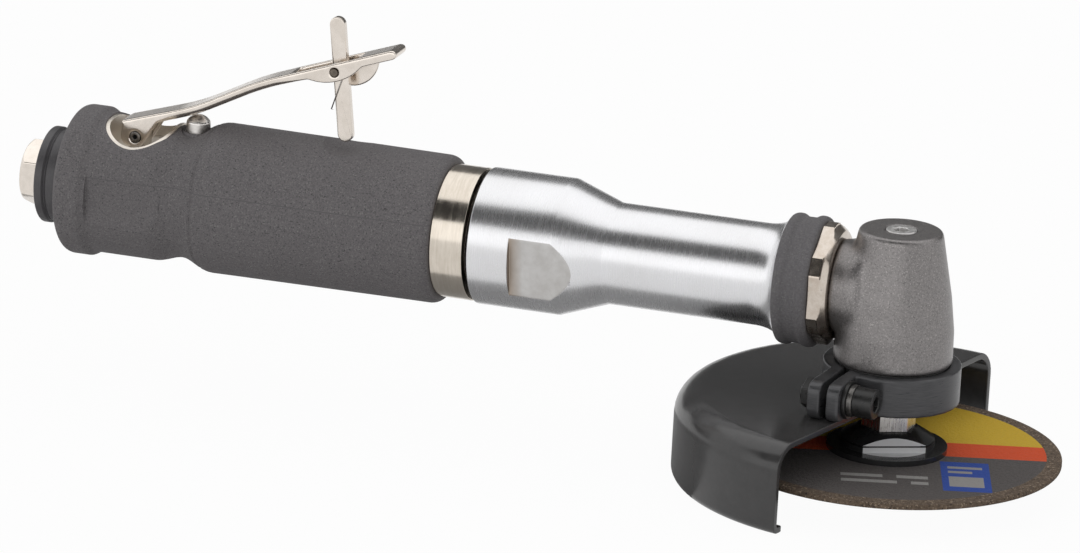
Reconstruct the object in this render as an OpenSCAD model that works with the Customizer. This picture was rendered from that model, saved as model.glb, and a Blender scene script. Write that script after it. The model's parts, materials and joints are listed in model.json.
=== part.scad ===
// Pneumatic cut-off tool with an angle head, a lever throttle and a half-round wheel guard.
// Millimetres. Origin at the mouth of the air inlet, +X along the tool to the head,
// +Z up along the spindle, away from the wheel.

/* [Stations along the tool] */
// Length of the inlet bushing's hex outside the exhaust collar
inlet_hex_len = 6.7; // [5:0.1:10]
// Visible length of the exhaust collar
collar_len = 8.5; // [5:0.5:12]
// Length of the grip sleeve
grip_len = 116.7; // [112:0.1:130]
// Length of the lock ring
ring_len = 10.1; // [5:0.1:14]
// Width of the groove between the lock ring and the extension
ring_gap = 1.5; // [0.5:0.1:3]
// Length of the extension's large end
ext_big_len = 25; // [20:0.5:35]
// Length of the extension's cone
ext_cone_len = 14.5; // [10:0.5:20]
// Length of the extension's slim tube
ext_small_len = 44.2; // [35:0.1:60]
// Length of the extension's flare
ext_flare_len = 7.6; // [5:0.1:10]
// Length of the rubber ring
rubber_len = 10.2; // [8:0.1:16]
// Length of the head's lock nut
nut_len = 5.5; // [4:0.1:8]
// Distance from the lock nut to the spindle's axis
neck_len = 17; // [16.5:0.1:20]

/* [Inlet and collar] */
// Width across the inlet hex's flats
inlet_af = 17.5; // [15:0.1:20]
// Minor diameter of the inlet's pipe thread
inlet_thread_d = 11.8; // [10:0.1:13]
// Depth of the inlet's pipe thread
inlet_thread_len = 12; // [8:0.5:15]
// Lip of the collar's flange over its barrel
collar_lip = 0.4; // [0.2:0.05:1.5]
// Thickness of the collar's flange
collar_flange_len = 2.6; // [2:0.1:4]
// Step from the motor housing in to the collar's barrel
collar_step = 2.5; // [2.3:0.05:4.5]

/* [Grip sleeve] */
// Wall of the sleeve at its rear edge, over the motor housing
grip_end_wall = 3.5; // [1.5:0.05:4.5]
// Wall at the rear rim
grip_rim_wall = 5.8; // [5:0.05:7.5]
// Wall of the rear part under the lever
grip_rear_wall = 4.5; // [3.5:0.05:5]
// Wall at the waist
grip_waist_wall = 2.6; // [2:0.05:3.5]
// Wall at the shoulder in front of the waist
grip_shoulder_wall = 5.9; // [5:0.05:7]
// Wall near the front end
grip_front_wall = 5.4; // [5:0.05:6.5]
// Wall at the rounded front edge
grip_edge_wall = 3.7; // [3.2:0.05:4.5]
// Radius of both ends of the lever's pocket
pocket_r = 10.8; // [10.4:0.1:11.2]
// Depth of the scallop under the latch
notch_depth = 2.1; // [1.8:0.1:2.4]

/* [Motor] */
// Outer diameter of the motor housing
housing_d = 33; // [32.5:0.1:34]
// Wall of the motor housing round the motor's bore
housing_wall = 1.5; // [1.3:0.05:2]
// Distance from the valve's bore to the motor's rear plate
valve_wall = 13.3; // [11.3:0.1:19.3]
// Mean wall of the cylinder liner
liner_wall = 3; // [2.5:0.05:3.5]
// Offset of the liner's bore from the rotor's axis
liner_offset = 1.1; // [0.8:0.1:1.3]
// Thickness of each end plate
plate_len = 8; // [7:0.1:9]
// Diameter of the rotor's shaft
rotor_shaft_d = 6; // [5:0.1:7]

/* [Extension and lock ring] */
// Wall of the lock ring, over the motor housing
ring_wall = 3.1; // [1.5:0.05:3.5]
// Diameter of the extension's large end
ext_big_d = 40.2; // [38:0.1:42]
// Diameter of the extension's slim tube
ext_small_d = 29.8; // [29:0.1:32]
// Diameter of the extension's flare
ext_flare_d = 36.6; // [35:0.1:38]
// Width across the wrench flats
ext_flat_af = 35.9; // [33:0.1:38]
// Distance from the extension's rear end to the wrench flats
ext_flat_start = 12.5; // [8:0.5:16]
// Largest diameter of the rubber ring
rubber_d = 38.2; // [37:0.1:39]
// Diameter of the drive shaft
drive_shaft_d = 8; // [7:0.1:8.4]

/* [Angle head] */
// Width across the lock nut's flats
nut_af = 33.5; // [31:0.1:35]
// Width across the lock nut's trimmed corners
nut_corner_af = 35.4; // [33:0.1:37]
// Diameter of the head's neck
neck_d = 27; // [26:0.1:29]
// Diameter of the head at its bottom
head_bottom_d = 34.5; // [33.6:0.1:37]
// Diameter of the head level with the tool's axis
head_mid_d = 31.5; // [29:0.1:33]
// Diameter of the head at its top edge
head_top_d = 24.4; // [20:0.1:26]
// Height of the head above the tool's axis
head_top_z = 19.05; // [18:0.05:22]
// Depth of the head below the tool's axis
head_bottom_z = 20; // [19.5:0.1:22]
// Pitch diameter of the bevel gear
gear_pitch_d = 19; // [18:0.1:19.4]
// Teeth on the bevel gear
gear_teeth = 21; // [21:21:21]
// Teeth on the bevel pinion
pinion_teeth = 14; // [14:14:14]

/* [Wheel and spindle] */
// Room between the cut-off wheel's edge and the guard's wall
wheel_room = 9.2; // [6:0.1:15]
// Thickness of the cut-off wheel
wheel_t = 1.6; // [1:0.1:2.4]
// Diameter of the wheel's arbor hole
arbor_d = 9.6; // [9:0.1:10.4]
// Diameter of both wheel flanges
flange_d = 35; // [32:0.5:40]
// Width across the spindle hex's flats
spindle_af = 14; // [12.5:0.1:15]
// Length of the spindle's hex
spindle_hex_len = 7.6; // [6:0.1:9]
// Height of the upper wheel flange
upper_flange_h = 7; // [6:0.1:8]
// Thickness of the lower wheel flange
lower_flange_h = 3.9; // [3:0.1:4.5]

/* [Guard] */
// Outer diameter of the guard
guard_d = 124; // [120:0.5:130]
// Thickness of the guard's sheet
guard_t = 2; // [1.6:0.1:3]
// Height of the guard
guard_h = 26.1; // [25:0.1:30]
// Outer radius of the guard's rounded edge
guard_round = 8; // [4:0.5:10]
// Width of the guard's inward bottom lip
guard_lip = 4.5; // [3:0.1:6]
// Outer diameter of the clamp band
band_d = 40; // [38:0.1:42]
// Height of the clamp band
band_h = 11.2; // [10:0.1:12]
// Diameter of the clamp screw
clamp_screw_d = 5; // [4:0.1:5.4]

/* [Throttle lever and latch] */
// Width of the lever
lever_w = 10; // [9.5:0.1:11]
// Thickness of the lever's strip
lever_t = 2.8; // [2:0.1:3]
// Length of the lever's first straight
lever_len_1 = 18.2; // [17:0.1:21]
// Length of the lever's second straight
lever_len_2 = 22.6; // [20:0.1:25]
// Length of the lever's third straight
lever_len_3 = 44.5; // [42:0.1:55]
// Diameter of the lever's roll pin
lever_pin_d = 3.2; // [2.5:0.1:3.6]
// Width of the latch bar
latch_w = 4.6; // [4:0.1:5]
// Thickness of the latch bar
latch_t = 2.3; // [2:0.1:3]
// Length of the latch bar above its pin
latch_up_len = 15.7; // [12:0.1:20]
// Diameter of the valve's button
valve_pin_d = 7.2; // [6:0.1:7.6]

/* [Hidden] */
$fn = 96;

// Clearances and one overrun for all cuts
fit = 0.05;
run = 0.06;
gap = 0.3;
over = 1;

// Stations along X
x_collar = inlet_hex_len;
x_grip = x_collar + collar_len;
x_ring = x_grip + grip_len;
x_groove = x_ring + ring_len;
x_ext = x_groove + ring_gap;
x_cone = x_ext + ext_big_len;
x_small = x_cone + ext_cone_len;
x_flare = x_small + ext_small_len;
x_rubber = x_flare + ext_flare_len;
x_nut = x_rubber + rubber_len;
x_neck = x_nut + nut_len;
spindle_x = x_neck + neck_len;

// Collar, grip sleeve and lock ring, all from the motor housing
collar_d = housing_d - 2 * collar_step;
collar_flange_d = collar_d + 2 * collar_lip;
grip_end_d = housing_d + 2 * grip_end_wall;
grip_rim_d = housing_d + 2 * grip_rim_wall;
grip_rear_d = housing_d + 2 * grip_rear_wall;
grip_waist_d = housing_d + 2 * grip_waist_wall;
grip_shoulder_d = housing_d + 2 * grip_shoulder_wall;
grip_front_d = housing_d + 2 * grip_front_wall;
grip_edge_d = housing_d + 2 * grip_edge_wall;
ring_d = housing_d + 2 * ring_wall;
grip_round_len = 2.8;
grip_rim_len = 4.5;
grip_step_len = 3;
grip_rear_len = 17.5;
waist_in_len = 8.5;
waist_out_len = 10;
grip_front_round = 3;
grip_hole_d = collar_d + 2 * gap;
pad_start = 10;
pad_len = 23;
pad_depth = 1.4;
x_rim = x_grip + grip_round_len;
x_rear = x_rim + grip_rim_len + grip_step_len;
x_waist = x_rear + grip_rear_len + waist_in_len;
x_shoulder = x_waist + waist_out_len;

// Motor stack, clamped between the housing's wall ahead of the valve and the extension's spigot
valve_reach = 18;
pin_setback = 19.5;
pin_x = x_grip + pin_setback;
valve_x = pin_x + valve_reach;
valve_bore_d = 11;
spigot_len = 10;
x_stack = x_ext - spigot_len;
x_front_plate = x_stack - plate_len;
x_rear_plate = valve_x + valve_bore_d / 2 + valve_wall;
x_liner = x_rear_plate + plate_len;
liner_len = x_front_plate - x_liner;
motor_bore_d = housing_d - 2 * housing_wall;
liner_bore_d = motor_bore_d - 2 * liner_wall;
housing_rear = 2.5;
x_housing = x_grip + housing_rear;
end_clear = 0.3;
motor_fit_d = motor_bore_d - 2 * fit;
rotor_d = liner_bore_d - 2 * liner_offset - 2 * gap;
motor_bearing_d = 19;
motor_bearing_w = 6;
vane_t = 1.6;
vane_depth = 5;
vane_count = 4;
dowel_d = 2;
dowel_len = 5;
dowel_r = (liner_bore_d + motor_bore_d) / 4 - liner_offset / 2;
drive_hub_d = 11;
drive_hub_len = 12;
rotor_tail = 8;

// Inlet
shank_d = 16;
shank_len = 19;
screen_t = 1.2;
screen_hole_d = 1.6;
screen_pitch = 2.4;
passage_d = 7;
passage_drop = 4;
outlet_d = 6;
outlet_rise = 5.5;
muffler_len = 4;

// Valve
pin_depth = 4.7;
pin_z = grip_rear_d / 2 - pin_depth;
valve_floor = -10;
seat_z = 0;
seat_h = 3;
seat_hole_d = 5;
bushing_z = 8.5;
bushing_sink = 1.1;
bushing_top = housing_d / 2 - bushing_sink;
bushing_collar_d = 9.4;
bushing_rise = 0.2;
bushing_collar_z = grip_rear_d / 2 + bushing_rise;
button_hole_d = 9.8;
valve_stem_d = 3;
poppet_d = 8.4;
poppet_h = 3;
spring_wire_d = 0.6;
spring_mean_d = 6;
spring_turns = 5;
button_gap = 0.4;
button_step_z = 11.5;
oring_d = 1.4;
oring_z = 13.5;

// Lever: a strip whose top runs through three straights from above the roll pin
lever_rise = 5.88;
lever_back = 4.7;
lever_angle_1 = 17.7;
lever_angle_2 = 27.7;
lever_angle_3 = 19.8;
ear_t = 1.4;
rear_ear_r = 3.2;
rear_ear_back = 1.5;
rear_flank = 6;
boss_r = 2.3;
fork_gap = 0.3;
ear_half = lever_w / 2 - ear_t;
boss_half = ear_half - fork_gap;
latch_reach = 24.3;
latch_drop = 2.5;
latch_lean = 6.8;
latch_offset = 0.6;
latch_pin_d = 2.4;
latch_pin_head = 0.3;
near_ear_r = 15.8;
near_ear_rise = 12.9;
far_ear_r = 8.7;
far_ear_shift = [2.1, 2.8];
slot_back = 13;
slot_front = 8;
tip_gap = 2.15;
scallop_r = 16;
scallop_ahead = 4.1;
pocket_ahead = 1.8;
pocket_half = 3.6;
pocket_wall = 1.2;
pocket_drop = 3.9;
pocket_floor = pin_z - pocket_drop;
pocket_sink = 0.6;
pocket_top_r = grip_rear_d / 2 - pocket_sink;
spring_leg_1 = 5;
spring_leg_2 = 12;
spring_leg_angle_1 = 200;
spring_leg_angle_2 = 253;
latch_wire_d = 0.4;
latch_coil_d = 4.2;
latch_coil_turns = 1;
latch_coil_pitch = 0.95;

function ahead(p, length, angle) = [p[0] + length * cos(angle), p[1] + length * sin(angle)];
lever_p0 = [pin_x, pin_z + lever_rise];
lever_start = ahead(lever_p0, -lever_back / cos(lever_angle_1), lever_angle_1);
lever_p1 = ahead(lever_p0, lever_len_1, lever_angle_1);
lever_p2 = ahead(lever_p1, lever_len_2, lever_angle_2);
lever_p3 = ahead(lever_p2, lever_len_3 - lever_t / 2, lever_angle_3);
lever_mid_12 = (lever_angle_1 + lever_angle_2) / 2;
lever_mid_23 = (lever_angle_2 + lever_angle_3) / 2;
latch_on = ahead(lever_p2, latch_reach, lever_angle_3);
latch_p = ahead(latch_on, latch_drop, lever_angle_3 - 90);
button_z = lever_p1[1] + (valve_x - lever_p1[0]) * tan(lever_angle_2)
    - lever_t / cos(lever_angle_2) - button_gap;
grip_at_latch = grip_shoulder_d / 2;
notch_z = grip_at_latch - notch_depth;
latch_down_len = (latch_p[1] - notch_z - tip_gap - latch_w / 2) / cos(latch_lean) + latch_w / 2;

// Extension
ext_bore_d = 13;
drive_bearing_d = 16;
drive_bearing_w = 5;
bearing_setin = 12;
ext_flat_turn = 10;
neck_spigot_d = 24;
neck_spigot_len = 13.7;
rubber_seat_d = 31;
rubber_edge = 4;
rubber_waist_d = 36.6;

// Bevel gears: one apex where the spindle's axis crosses the tool's
gear_r = gear_pitch_d / 2;
pinion_r = gear_r * pinion_teeth / gear_teeth;
tooth_face = 3.6;
tooth_slot = 1.6;
tooth_add = 0.45;
tooth_ded = 0.75;
gear_rim = 1.2;
pinion_hub_d = 10.4;
gear_hub_d = 10.8;

// Angle head
head_wall_z = 18.4;
head_low_z = 10.3;
head_edge = 0.7;
head_low_d = head_bottom_d - gap;
chamber_room = 1.3;
chamber_d = gear_pitch_d + 2 * chamber_room;
retainer_thread_d = 26;
retainer_thread_len = 7;
retainer_d = 33;
retainer_h = 12;
retainer_lip = 3.5;
upper_bearing_d = 13;
upper_bearing_w = 5;
upper_bearing_z = 8;
upper_journal_d = 6;
lower_bearing_d = 22;
lower_bearing_w = 7;
spindle_d = 8;
spindle_hub_d = 13.2;
plug_d = 9;
plug_len = 4;
plug_hex_af = 4;
plug_hex_depth = 2;
neck_flare_len = 9;
neck_flare = 2.2;
nut_chamfer = 2;
nut_face_d = 31;
drain_d = 3;

// Heights under the head
z_retainer = -head_bottom_z - retainer_h;
z_hex = z_retainer - gap;
z_flange = z_hex - spindle_hex_len;
z_wheel = z_flange - upper_flange_h;
z_lower = z_wheel - wheel_t;
z_screw = z_lower - lower_flange_h;
z_bearing = z_retainer + retainer_lip;
flange_hub_d = 27.4;
flange_top_d = 17;
flange_cone_h = 3.2;
flange_groove_h = 0.5;
flange_groove_d = 25;
flange_tier_h = 1.6;
flange_flat_af = 20;
flange_turn = 26.8;
flange_relief_d = 26;
flange_relief = 0.5;
screw_d = 5.8;
screw_len = 15;
screw_head_d = 11;
screw_head_h = 3;
screw_hex_af = 4;
screw_hex_depth = 2;
nose_short = 0.8;

// Guard and clamp
wheel_d = guard_d - 2 * guard_t - 2 * wheel_room;
guard_mid = 165;
guard_sweep = 179;
z_band = -head_bottom_z - gap;
z_guard = z_band - band_h - fit;
guard_foot_r = 2.5;
clamp_turn = -6.6;
clamp_reach = 25.5;
clamp_split = -8.2;
clamp_slit = 2;
clamp_ear_t = 3.8;
clamp_ear_reach = 33;
clamp_head_d = 8.8;
clamp_head_h = 6;
clamp_hex_af = 4;
clamp_hex_depth = 3;
washer_d = 11;
washer_t = 1.2;
lock_washer_d = 9.4;
lock_washer_t = 1.6;
clamp_nut_af = 8;
clamp_nut_h = 3.2;
clamp_tail = 1;

// Shared shapes

// A round bar along X from one station to another
module bar_x(x0, x1, d) {
    translate([x0, 0, 0]) rotate([0, 90, 0]) cylinder(h = x1 - x0, d = d);
}

// A round bar along Y, centred on the tool's middle plane
module bar_y(p, length, d) {
    translate([p[0], length / 2, p[1]]) rotate([90, 0, 0]) cylinder(h = length, d = d);
}

// A round bar along Z on the spindle's axis
module bar_z(z0, z1, d) {
    translate([spindle_x, 0, z0]) cylinder(h = z1 - z0, d = d);
}

// A solid of revolution about the tool's axis from points [x, radius]
module turned_x(points) {
    rotate([90, 0, 90]) rotate_extrude() polygon([for (p = points) [p[1], p[0]]]);
}

// A solid of revolution about the spindle's axis from points [radius, z]
module turned_z(points) {
    translate([spindle_x, 0, 0]) rotate_extrude() polygon(points);
}

// An outline of points [x, z] made as thick as the width, centred on the middle plane
module plate_y(points, width) {
    translate([0, width / 2, 0]) rotate([90, 0, 0]) linear_extrude(height = width) polygon(points);
}

// A straight hexagonal bar along Z
module hex_bar(af, h) {
    cylinder(h = h, d = af / cos(30), $fn = 6);
}

// Points of an S curve from one [x, radius] to another
ease_steps = 8;
function ease(a, b) = [for (i = [1 : ease_steps])
    [a[0] + (b[0] - a[0]) * i / ease_steps, a[1] + (b[1] - a[1]) * (1 - cos(180 * i / ease_steps)) / 2]];

// Points of a quarter round from an angle to another
arc_steps = 8;
function arc(centre, r, from, to) = [for (i = [0 : arc_steps])
    [centre[0] + r * cos(from + (to - from) * i / arc_steps),
     centre[1] + r * sin(from + (to - from) * i / arc_steps)]];

// A ball bearing along Z: a ring with a shallow shield groove in each face
module bearing(d, bore, w) {
    groove_share = 0.1;
    race_share = 0.28;
    race = (d - bore) / 2 * race_share;
    difference() {
        cylinder(h = w, d = d);
        translate([0, 0, -over]) cylinder(h = w + 2 * over, d = bore);
        for (z = [-over, w - w * groove_share]) translate([0, 0, z]) difference() {
            cylinder(h = w * groove_share + over, d = d - 2 * race);
            cylinder(h = w * groove_share + over, d = bore + 2 * race);
        }
    }
}

// A wire through points, six-sided, with its flats set square to the ref direction
wire_sides = 6;
module wire(points, d, ref) {
    last = len(points) - 1;
    rings = [for (i = [0 : last])
        let (t = points[min(i + 1, last)] - points[max(i - 1, 0)])
        let (u = cross(t, ref) / norm(cross(t, ref)))
        let (v = cross(t, u) / norm(cross(t, u)))
        for (k = [0 : wire_sides - 1])
            points[i] + d / 2 * (cos(360 * k / wire_sides) * u + sin(360 * k / wire_sides) * v)];
    sides = [for (i = [0 : last - 1], k = [0 : wire_sides - 1])
        let (a = i * wire_sides + k)
        let (b = i * wire_sides + (k + 1) % wire_sides)
        each [[a, b + wire_sides, b], [a, a + wire_sides, b + wire_sides]]];
    top = last * wire_sides;
    caps = [for (k = [1 : wire_sides - 2])
        each [[0, k, k + 1], [top, top + k + 1, top + k]]];
    polyhedron(points = rings, faces = [for (f = concat(sides, caps)) [f[0], f[2], f[1]]]);
}

// The least clear distance between curls a turn or more apart
rings_per_turn = 8;
function wire_gap(points, d) = min([for (i = [0 : len(points) - 1], j = [i : len(points) - 1])
    if (j - i >= rings_per_turn - 1) norm(points[j] - points[i])]) - d;

// Handle

// The sleeve's outer form, from its rear edge to its front edge
module grip_body() {
    rim = [x_rim, grip_rim_d / 2];
    rim_end = [x_rim + grip_rim_len, grip_rim_d / 2];
    rear = [x_rear, grip_rear_d / 2];
    rear_end = [x_rear + grip_rear_len, grip_rear_d / 2];
    waist = [x_waist, grip_waist_d / 2];
    shoulder = [x_shoulder, grip_shoulder_d / 2];
    front = [x_ring - grip_front_round, grip_front_d / 2];
    edge = grip_front_d / 2 - grip_edge_d / 2;
    rise = grip_rim_d / 2 - grip_end_d / 2;
    turned_x(concat(
        [[x_grip, 0], [x_grip, grip_end_d / 2]],
        [for (i = [1 : arc_steps]) [x_grip + grip_round_len * (1 - cos(90 * i / arc_steps)),
            grip_end_d / 2 + rise * sin(90 * i / arc_steps)]],
        [rim_end], ease(rim_end, rear), [rear_end], ease(rear_end, waist), ease(waist, shoulder), [front],
        [for (i = [1 : arc_steps]) [front[0] + grip_front_round * sin(90 * i / arc_steps),
            front[1] - edge * (1 - cos(90 * i / arc_steps))]],
        [[x_ring, 0]]
    ));
}

module grip_sleeve() {
    color("dimgray") difference() {
        grip_body();
        bar_x(x_housing - fit, x_ring + over, housing_d + 2 * fit);
        bar_x(x_grip - over, x_housing + over, grip_hole_d);
        // Pocket for the lever's rear end, lined by the housing
        pocket(pocket_r, 0);
        // Hole for the valve's button
        translate([valve_x, 0, 0]) cylinder(h = grip_rim_d, d = button_hole_d);
        // Scallop under the latch's tip
        bar_y([latch_p[0] + scallop_ahead, notch_z + scallop_r], grip_rim_d, 2 * scallop_r);
        // Shallow flat pads on both sides of the rear part
        for (side = [-1, 1])
            translate([x_grip + pad_start, side * (grip_rear_d - pad_depth) - grip_rear_d / 2, -grip_rear_d / 2])
                cube([pad_len, grip_rear_d, grip_rear_d]);
    }
}

// An upright pocket, straight across the tool and round at both ends, from a height up
module pocket(r, z) {
    x = pin_x + pocket_ahead;
    for (side = [-1, 1]) translate([x, side * pocket_half, z]) cylinder(h = grip_rim_d, r = r);
    translate([x - r, -pocket_half, z]) cube([2 * r, 2 * pocket_half, grip_rim_d]);
}

module motor_housing() {
    boss_foot = pocket_floor - over;
    color("silver") difference() {
        union() {
            difference() {
                union() {
                    bar_x(x_housing, x_groove, housing_d);
                    // Lining of the lever's pocket
                    intersection() {
                        pocket(pocket_r - fit, 0);
                        bar_x(x_housing, x_waist, 2 * pocket_top_r);
                    }
                }
                pocket(pocket_r - pocket_wall, pocket_floor);
            }
            // Boss that carries the lever's roll pin
            bar_y([pin_x, pin_z], 2 * boss_half, 2 * boss_r);
            translate([pin_x - boss_r, -boss_half, boss_foot])
                cube([2 * boss_r, 2 * boss_half, pin_z - boss_foot]);
        }
        bar_x(x_rear_plate, x_groove + over, motor_bore_d);
        bar_x(x_housing - over, x_collar + shank_len + fit, shank_d + 2 * fit);
        bar_y([pin_x, pin_z], 2 * boss_half + 2 * over, lever_pin_d + 2 * fit);
        // Muffler's room round the bushing
        bar_x(x_housing - over, x_housing + muffler_len, collar_d - 2 * fit);
        // Valve bore, air passage from the inlet and outlet to the motor
        translate([valve_x, 0, valve_floor]) cylinder(h = housing_d, d = valve_bore_d);
        translate([0, 0, -passage_drop]) bar_x(x_collar + shank_len - over, valve_x, passage_d);
        translate([0, 0, outlet_rise]) bar_x(valve_x, x_rear_plate + over, outlet_d);
    }
}

module inlet_bushing() {
    color("tan") difference() {
        union() {
            rotate([0, 90, 0]) hex_bar(inlet_af, inlet_hex_len);
            bar_x(x_collar / 2, x_collar + shank_len, shank_d);
        }
        // The hex's rear rim is chamfered round
        difference() {
            bar_x(-over, inlet_hex_len, inlet_af * 2);
            turned_x([[-over, 0], [-over, inlet_af / 2 - over], [0, inlet_af / 2],
                [over, inlet_af / 2 + over], [inlet_hex_len + over, inlet_af], [inlet_hex_len + over, 0]]);
        }
        bar_x(-over, inlet_thread_len, inlet_thread_d);
        bar_x(inlet_thread_len - over, x_collar + shank_len + over, inlet_thread_d - 2 * screen_t);
    }
}

module inlet_screen() {
    seat = inlet_thread_d - 2 * screen_t - 2 * fit;
    span = floor((seat / 2 - screen_hole_d) / screen_pitch);
    x = inlet_thread_len + screen_t;
    color("goldenrod") difference() {
        bar_x(x, x + screen_t, seat);
        for (i = [-span : span], j = [-span : span])
            if (norm([i, j]) * screen_pitch + screen_hole_d < seat / 2)
                translate([0, i * screen_pitch, j * screen_pitch]) bar_x(x - over, x + screen_t + over, screen_hole_d);
    }
}

module exhaust_collar() {
    groove_share = 0.3;
    groove = collar_flange_len * groove_share;
    color("black") difference() {
        union() {
            bar_x(x_collar, x_collar + collar_flange_len, collar_flange_d);
            bar_x(x_collar, x_housing, collar_d);
        }
        bar_x(x_collar - over, x_housing + over, shank_d + 2 * fit);
        // Fine groove in front of the flange
        difference() {
            bar_x(x_collar + collar_flange_len, x_collar + collar_flange_len + groove, collar_flange_d + over);
            bar_x(x_collar, x_housing, collar_d - groove);
        }
    }
}

module muffler_felt() {
    color("gray") difference() {
        bar_x(x_housing, x_housing + muffler_len - fit, collar_d - 4 * fit);
        bar_x(x_housing - over, x_housing + muffler_len + over, shank_d + 2 * fit);
    }
}

module lock_ring() {
    color("tan") difference() {
        bar_x(x_ring, x_groove, ring_d);
        bar_x(x_ring - over, x_groove + over, housing_d + 2 * fit);
    }
}

// Throttle

// The lever's strip: along its top, then back along its underside
module lever_strip() {
    bend_1 = lever_t / cos(lever_mid_12 - lever_angle_1);
    bend_2 = lever_t / cos(lever_mid_23 - lever_angle_2);
    plate_y([
        lever_start, lever_p1, lever_p2, lever_p3,
        ahead(lever_p3, lever_t, lever_angle_3 - 90),
        ahead(lever_p2, bend_2, lever_mid_23 - 90),
        ahead(lever_p1, bend_1, lever_mid_12 - 90),
        ahead(lever_start, lever_t, lever_angle_1 - 90)
    ], lever_w);
    bar_y(ahead(lever_p3, lever_t / 2, lever_angle_3 - 90), lever_w, lever_t);
}

// One ear for the latch's pin: a round plate on one side, cut off at the strip's middle
module latch_ear(centre, r, side) {
    difference() {
        translate([0, side * (lever_w - ear_t) / 2, 0]) bar_y(centre, ear_t, 2 * r);
        translate([lever_p2[0], -lever_w, lever_p2[1]]) rotate([0, -lever_angle_3, 0])
            translate([-lever_len_3, 0, -lever_t / 2]) cube([3 * lever_len_3, 2 * lever_w, lever_len_3]);
    }
}

module throttle_lever() {
    pin = [pin_x, pin_z];
    under = ahead(lever_p0, lever_t, lever_angle_1 - 90);
    flank = ahead(under, rear_flank, lever_angle_1);
    heel = pin - [rear_ear_back, 0];
    color("tan") difference() {
        union() {
            lever_strip();
            // Rear ears round the roll pin, one each side of the housing's boss
            for (side = [-1, 1]) translate([0, side * (lever_w - ear_t) / 2, 0]) plate_y(concat(
                [ahead(lever_start, lever_t / 2, lever_angle_1 - 90)], arc(heel, rear_ear_r, 180, 270),
                arc(pin, rear_ear_r, 270, 330), [flank, ahead(flank, lever_t / 2, lever_angle_1 + 90)]
            ), ear_t);
            // The latch's ears, the far one deeper
            latch_ear(ahead(latch_p, near_ear_rise, lever_angle_3 + 90), near_ear_r, -1);
            latch_ear(latch_p + far_ear_shift, far_ear_r, 1);
        }
        // Slot that the latch swings in
        translate([latch_p[0], 0, latch_p[1]]) rotate([0, -lever_angle_3, 0])
            translate([-slot_back, -boss_half, -far_ear_r]) cube([slot_back + slot_front, 2 * boss_half, 2 * far_ear_r]);
        bar_y(pin, lever_w + 2 * over, lever_pin_d + 2 * run);
        bar_y(latch_p, lever_w + 2 * over, latch_pin_d + 2 * fit);
    }
}

module lever_pin() {
    bore_share = 0.4;
    color("dimgray") difference() {
        bar_y([pin_x, pin_z], lever_w, lever_pin_d);
        bar_y([pin_x, pin_z], lever_w + 2 * over, lever_pin_d * bore_share);
    }
}

module latch_pin() {
    color("silver") bar_y(latch_p, lever_w + 2 * latch_pin_head, latch_pin_d);
}

module lock_latch() {
    straight_up = latch_up_len - latch_w / 2;
    straight_down = latch_down_len - latch_w / 2;
    color("tan") translate([latch_p[0], 0, latch_p[1]]) rotate([0, -latch_lean, 0]) difference() {
        translate([latch_offset, 0, 0]) {
            translate([-latch_w / 2, -latch_t / 2, -straight_down]) cube([latch_w, latch_t, straight_up + straight_down]);
            bar_y([0, straight_up], latch_t, latch_w);
            bar_y([0, -straight_down], latch_t, latch_w);
        }
        bar_y([0, 0], latch_t + 2 * over, latch_pin_d + 2 * run);
    }
}

// Torsion spring on the latch's pin: one leg along the lever, one across the latch
function latch_wire(a, y) = [latch_p[0] + latch_coil_d / 2 * cos(a), y, latch_p[1] + latch_coil_d / 2 * sin(a)];
latch_start = spring_leg_angle_1 - 90;
latch_sweep = spring_leg_angle_2 - spring_leg_angle_1 + 180 - 360 * (latch_coil_turns + 1);
latch_coil_y = -latch_t / 2 - latch_wire_d / 2 - run;
latch_rings = ceil(rings_per_turn * abs(latch_sweep) / 360);
latch_coil = [for (i = [0 : latch_rings])
    latch_wire(latch_start + latch_sweep * i / latch_rings,
        latch_coil_y - latch_coil_pitch * (1 - i / latch_rings) * abs(latch_sweep) / 360)];
latch_leg_1 = latch_coil[0] + spring_leg_1 * [cos(spring_leg_angle_1), 0, sin(spring_leg_angle_1)];
latch_leg_2 = latch_coil[latch_rings] + spring_leg_2 * [cos(spring_leg_angle_2), 0, sin(spring_leg_angle_2)];
latch_path = concat([latch_leg_1], latch_coil, [latch_leg_2]);
echo(latch_spring_gap = wire_gap(latch_coil, latch_wire_d));

module latch_spring() {
    color("silver") wire(latch_path, latch_wire_d, [0, 1, 0]);
}

module valve_pin() {
    dome_share = 0.3;
    dome = valve_pin_d * dome_share;
    dome_r = (valve_pin_d * valve_pin_d / 4 + dome * dome) / (2 * dome);
    stem_z = seat_z - fit;
    color("silver") translate([valve_x, 0, 0]) rotate_extrude() polygon(concat(
        [[0, stem_z], [valve_stem_d / 2, stem_z], [valve_stem_d / 2, button_step_z], [valve_pin_d / 2, button_step_z],
         [valve_pin_d / 2, oring_z - oring_d / 2], [valve_pin_d / 2 - oring_d / 2, oring_z - oring_d / 2],
         [valve_pin_d / 2 - oring_d / 2, oring_z + oring_d / 2], [valve_pin_d / 2, oring_z + oring_d / 2]],
        arc([0, button_z - dome_r], dome_r, asin((dome_r - dome) / dome_r), 90)
    ));
}

module valve_o_ring() {
    color("black") translate([valve_x, 0, oring_z]) rotate_extrude()
        translate([valve_pin_d / 2 - oring_d / 4 + fit, 0]) circle(d = oring_d / 2);
}

module valve_bushing() {
    color("goldenrod") translate([valve_x, 0, 0]) difference() {
        union() {
            translate([0, 0, bushing_z]) cylinder(h = bushing_top - bushing_z, d = valve_bore_d - 2 * fit);
            translate([0, 0, bushing_z]) cylinder(h = bushing_collar_z - bushing_z, d = bushing_collar_d);
        }
        translate([0, 0, bushing_z - over]) cylinder(h = housing_d, d = valve_pin_d + 2 * run);
    }
}

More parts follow.
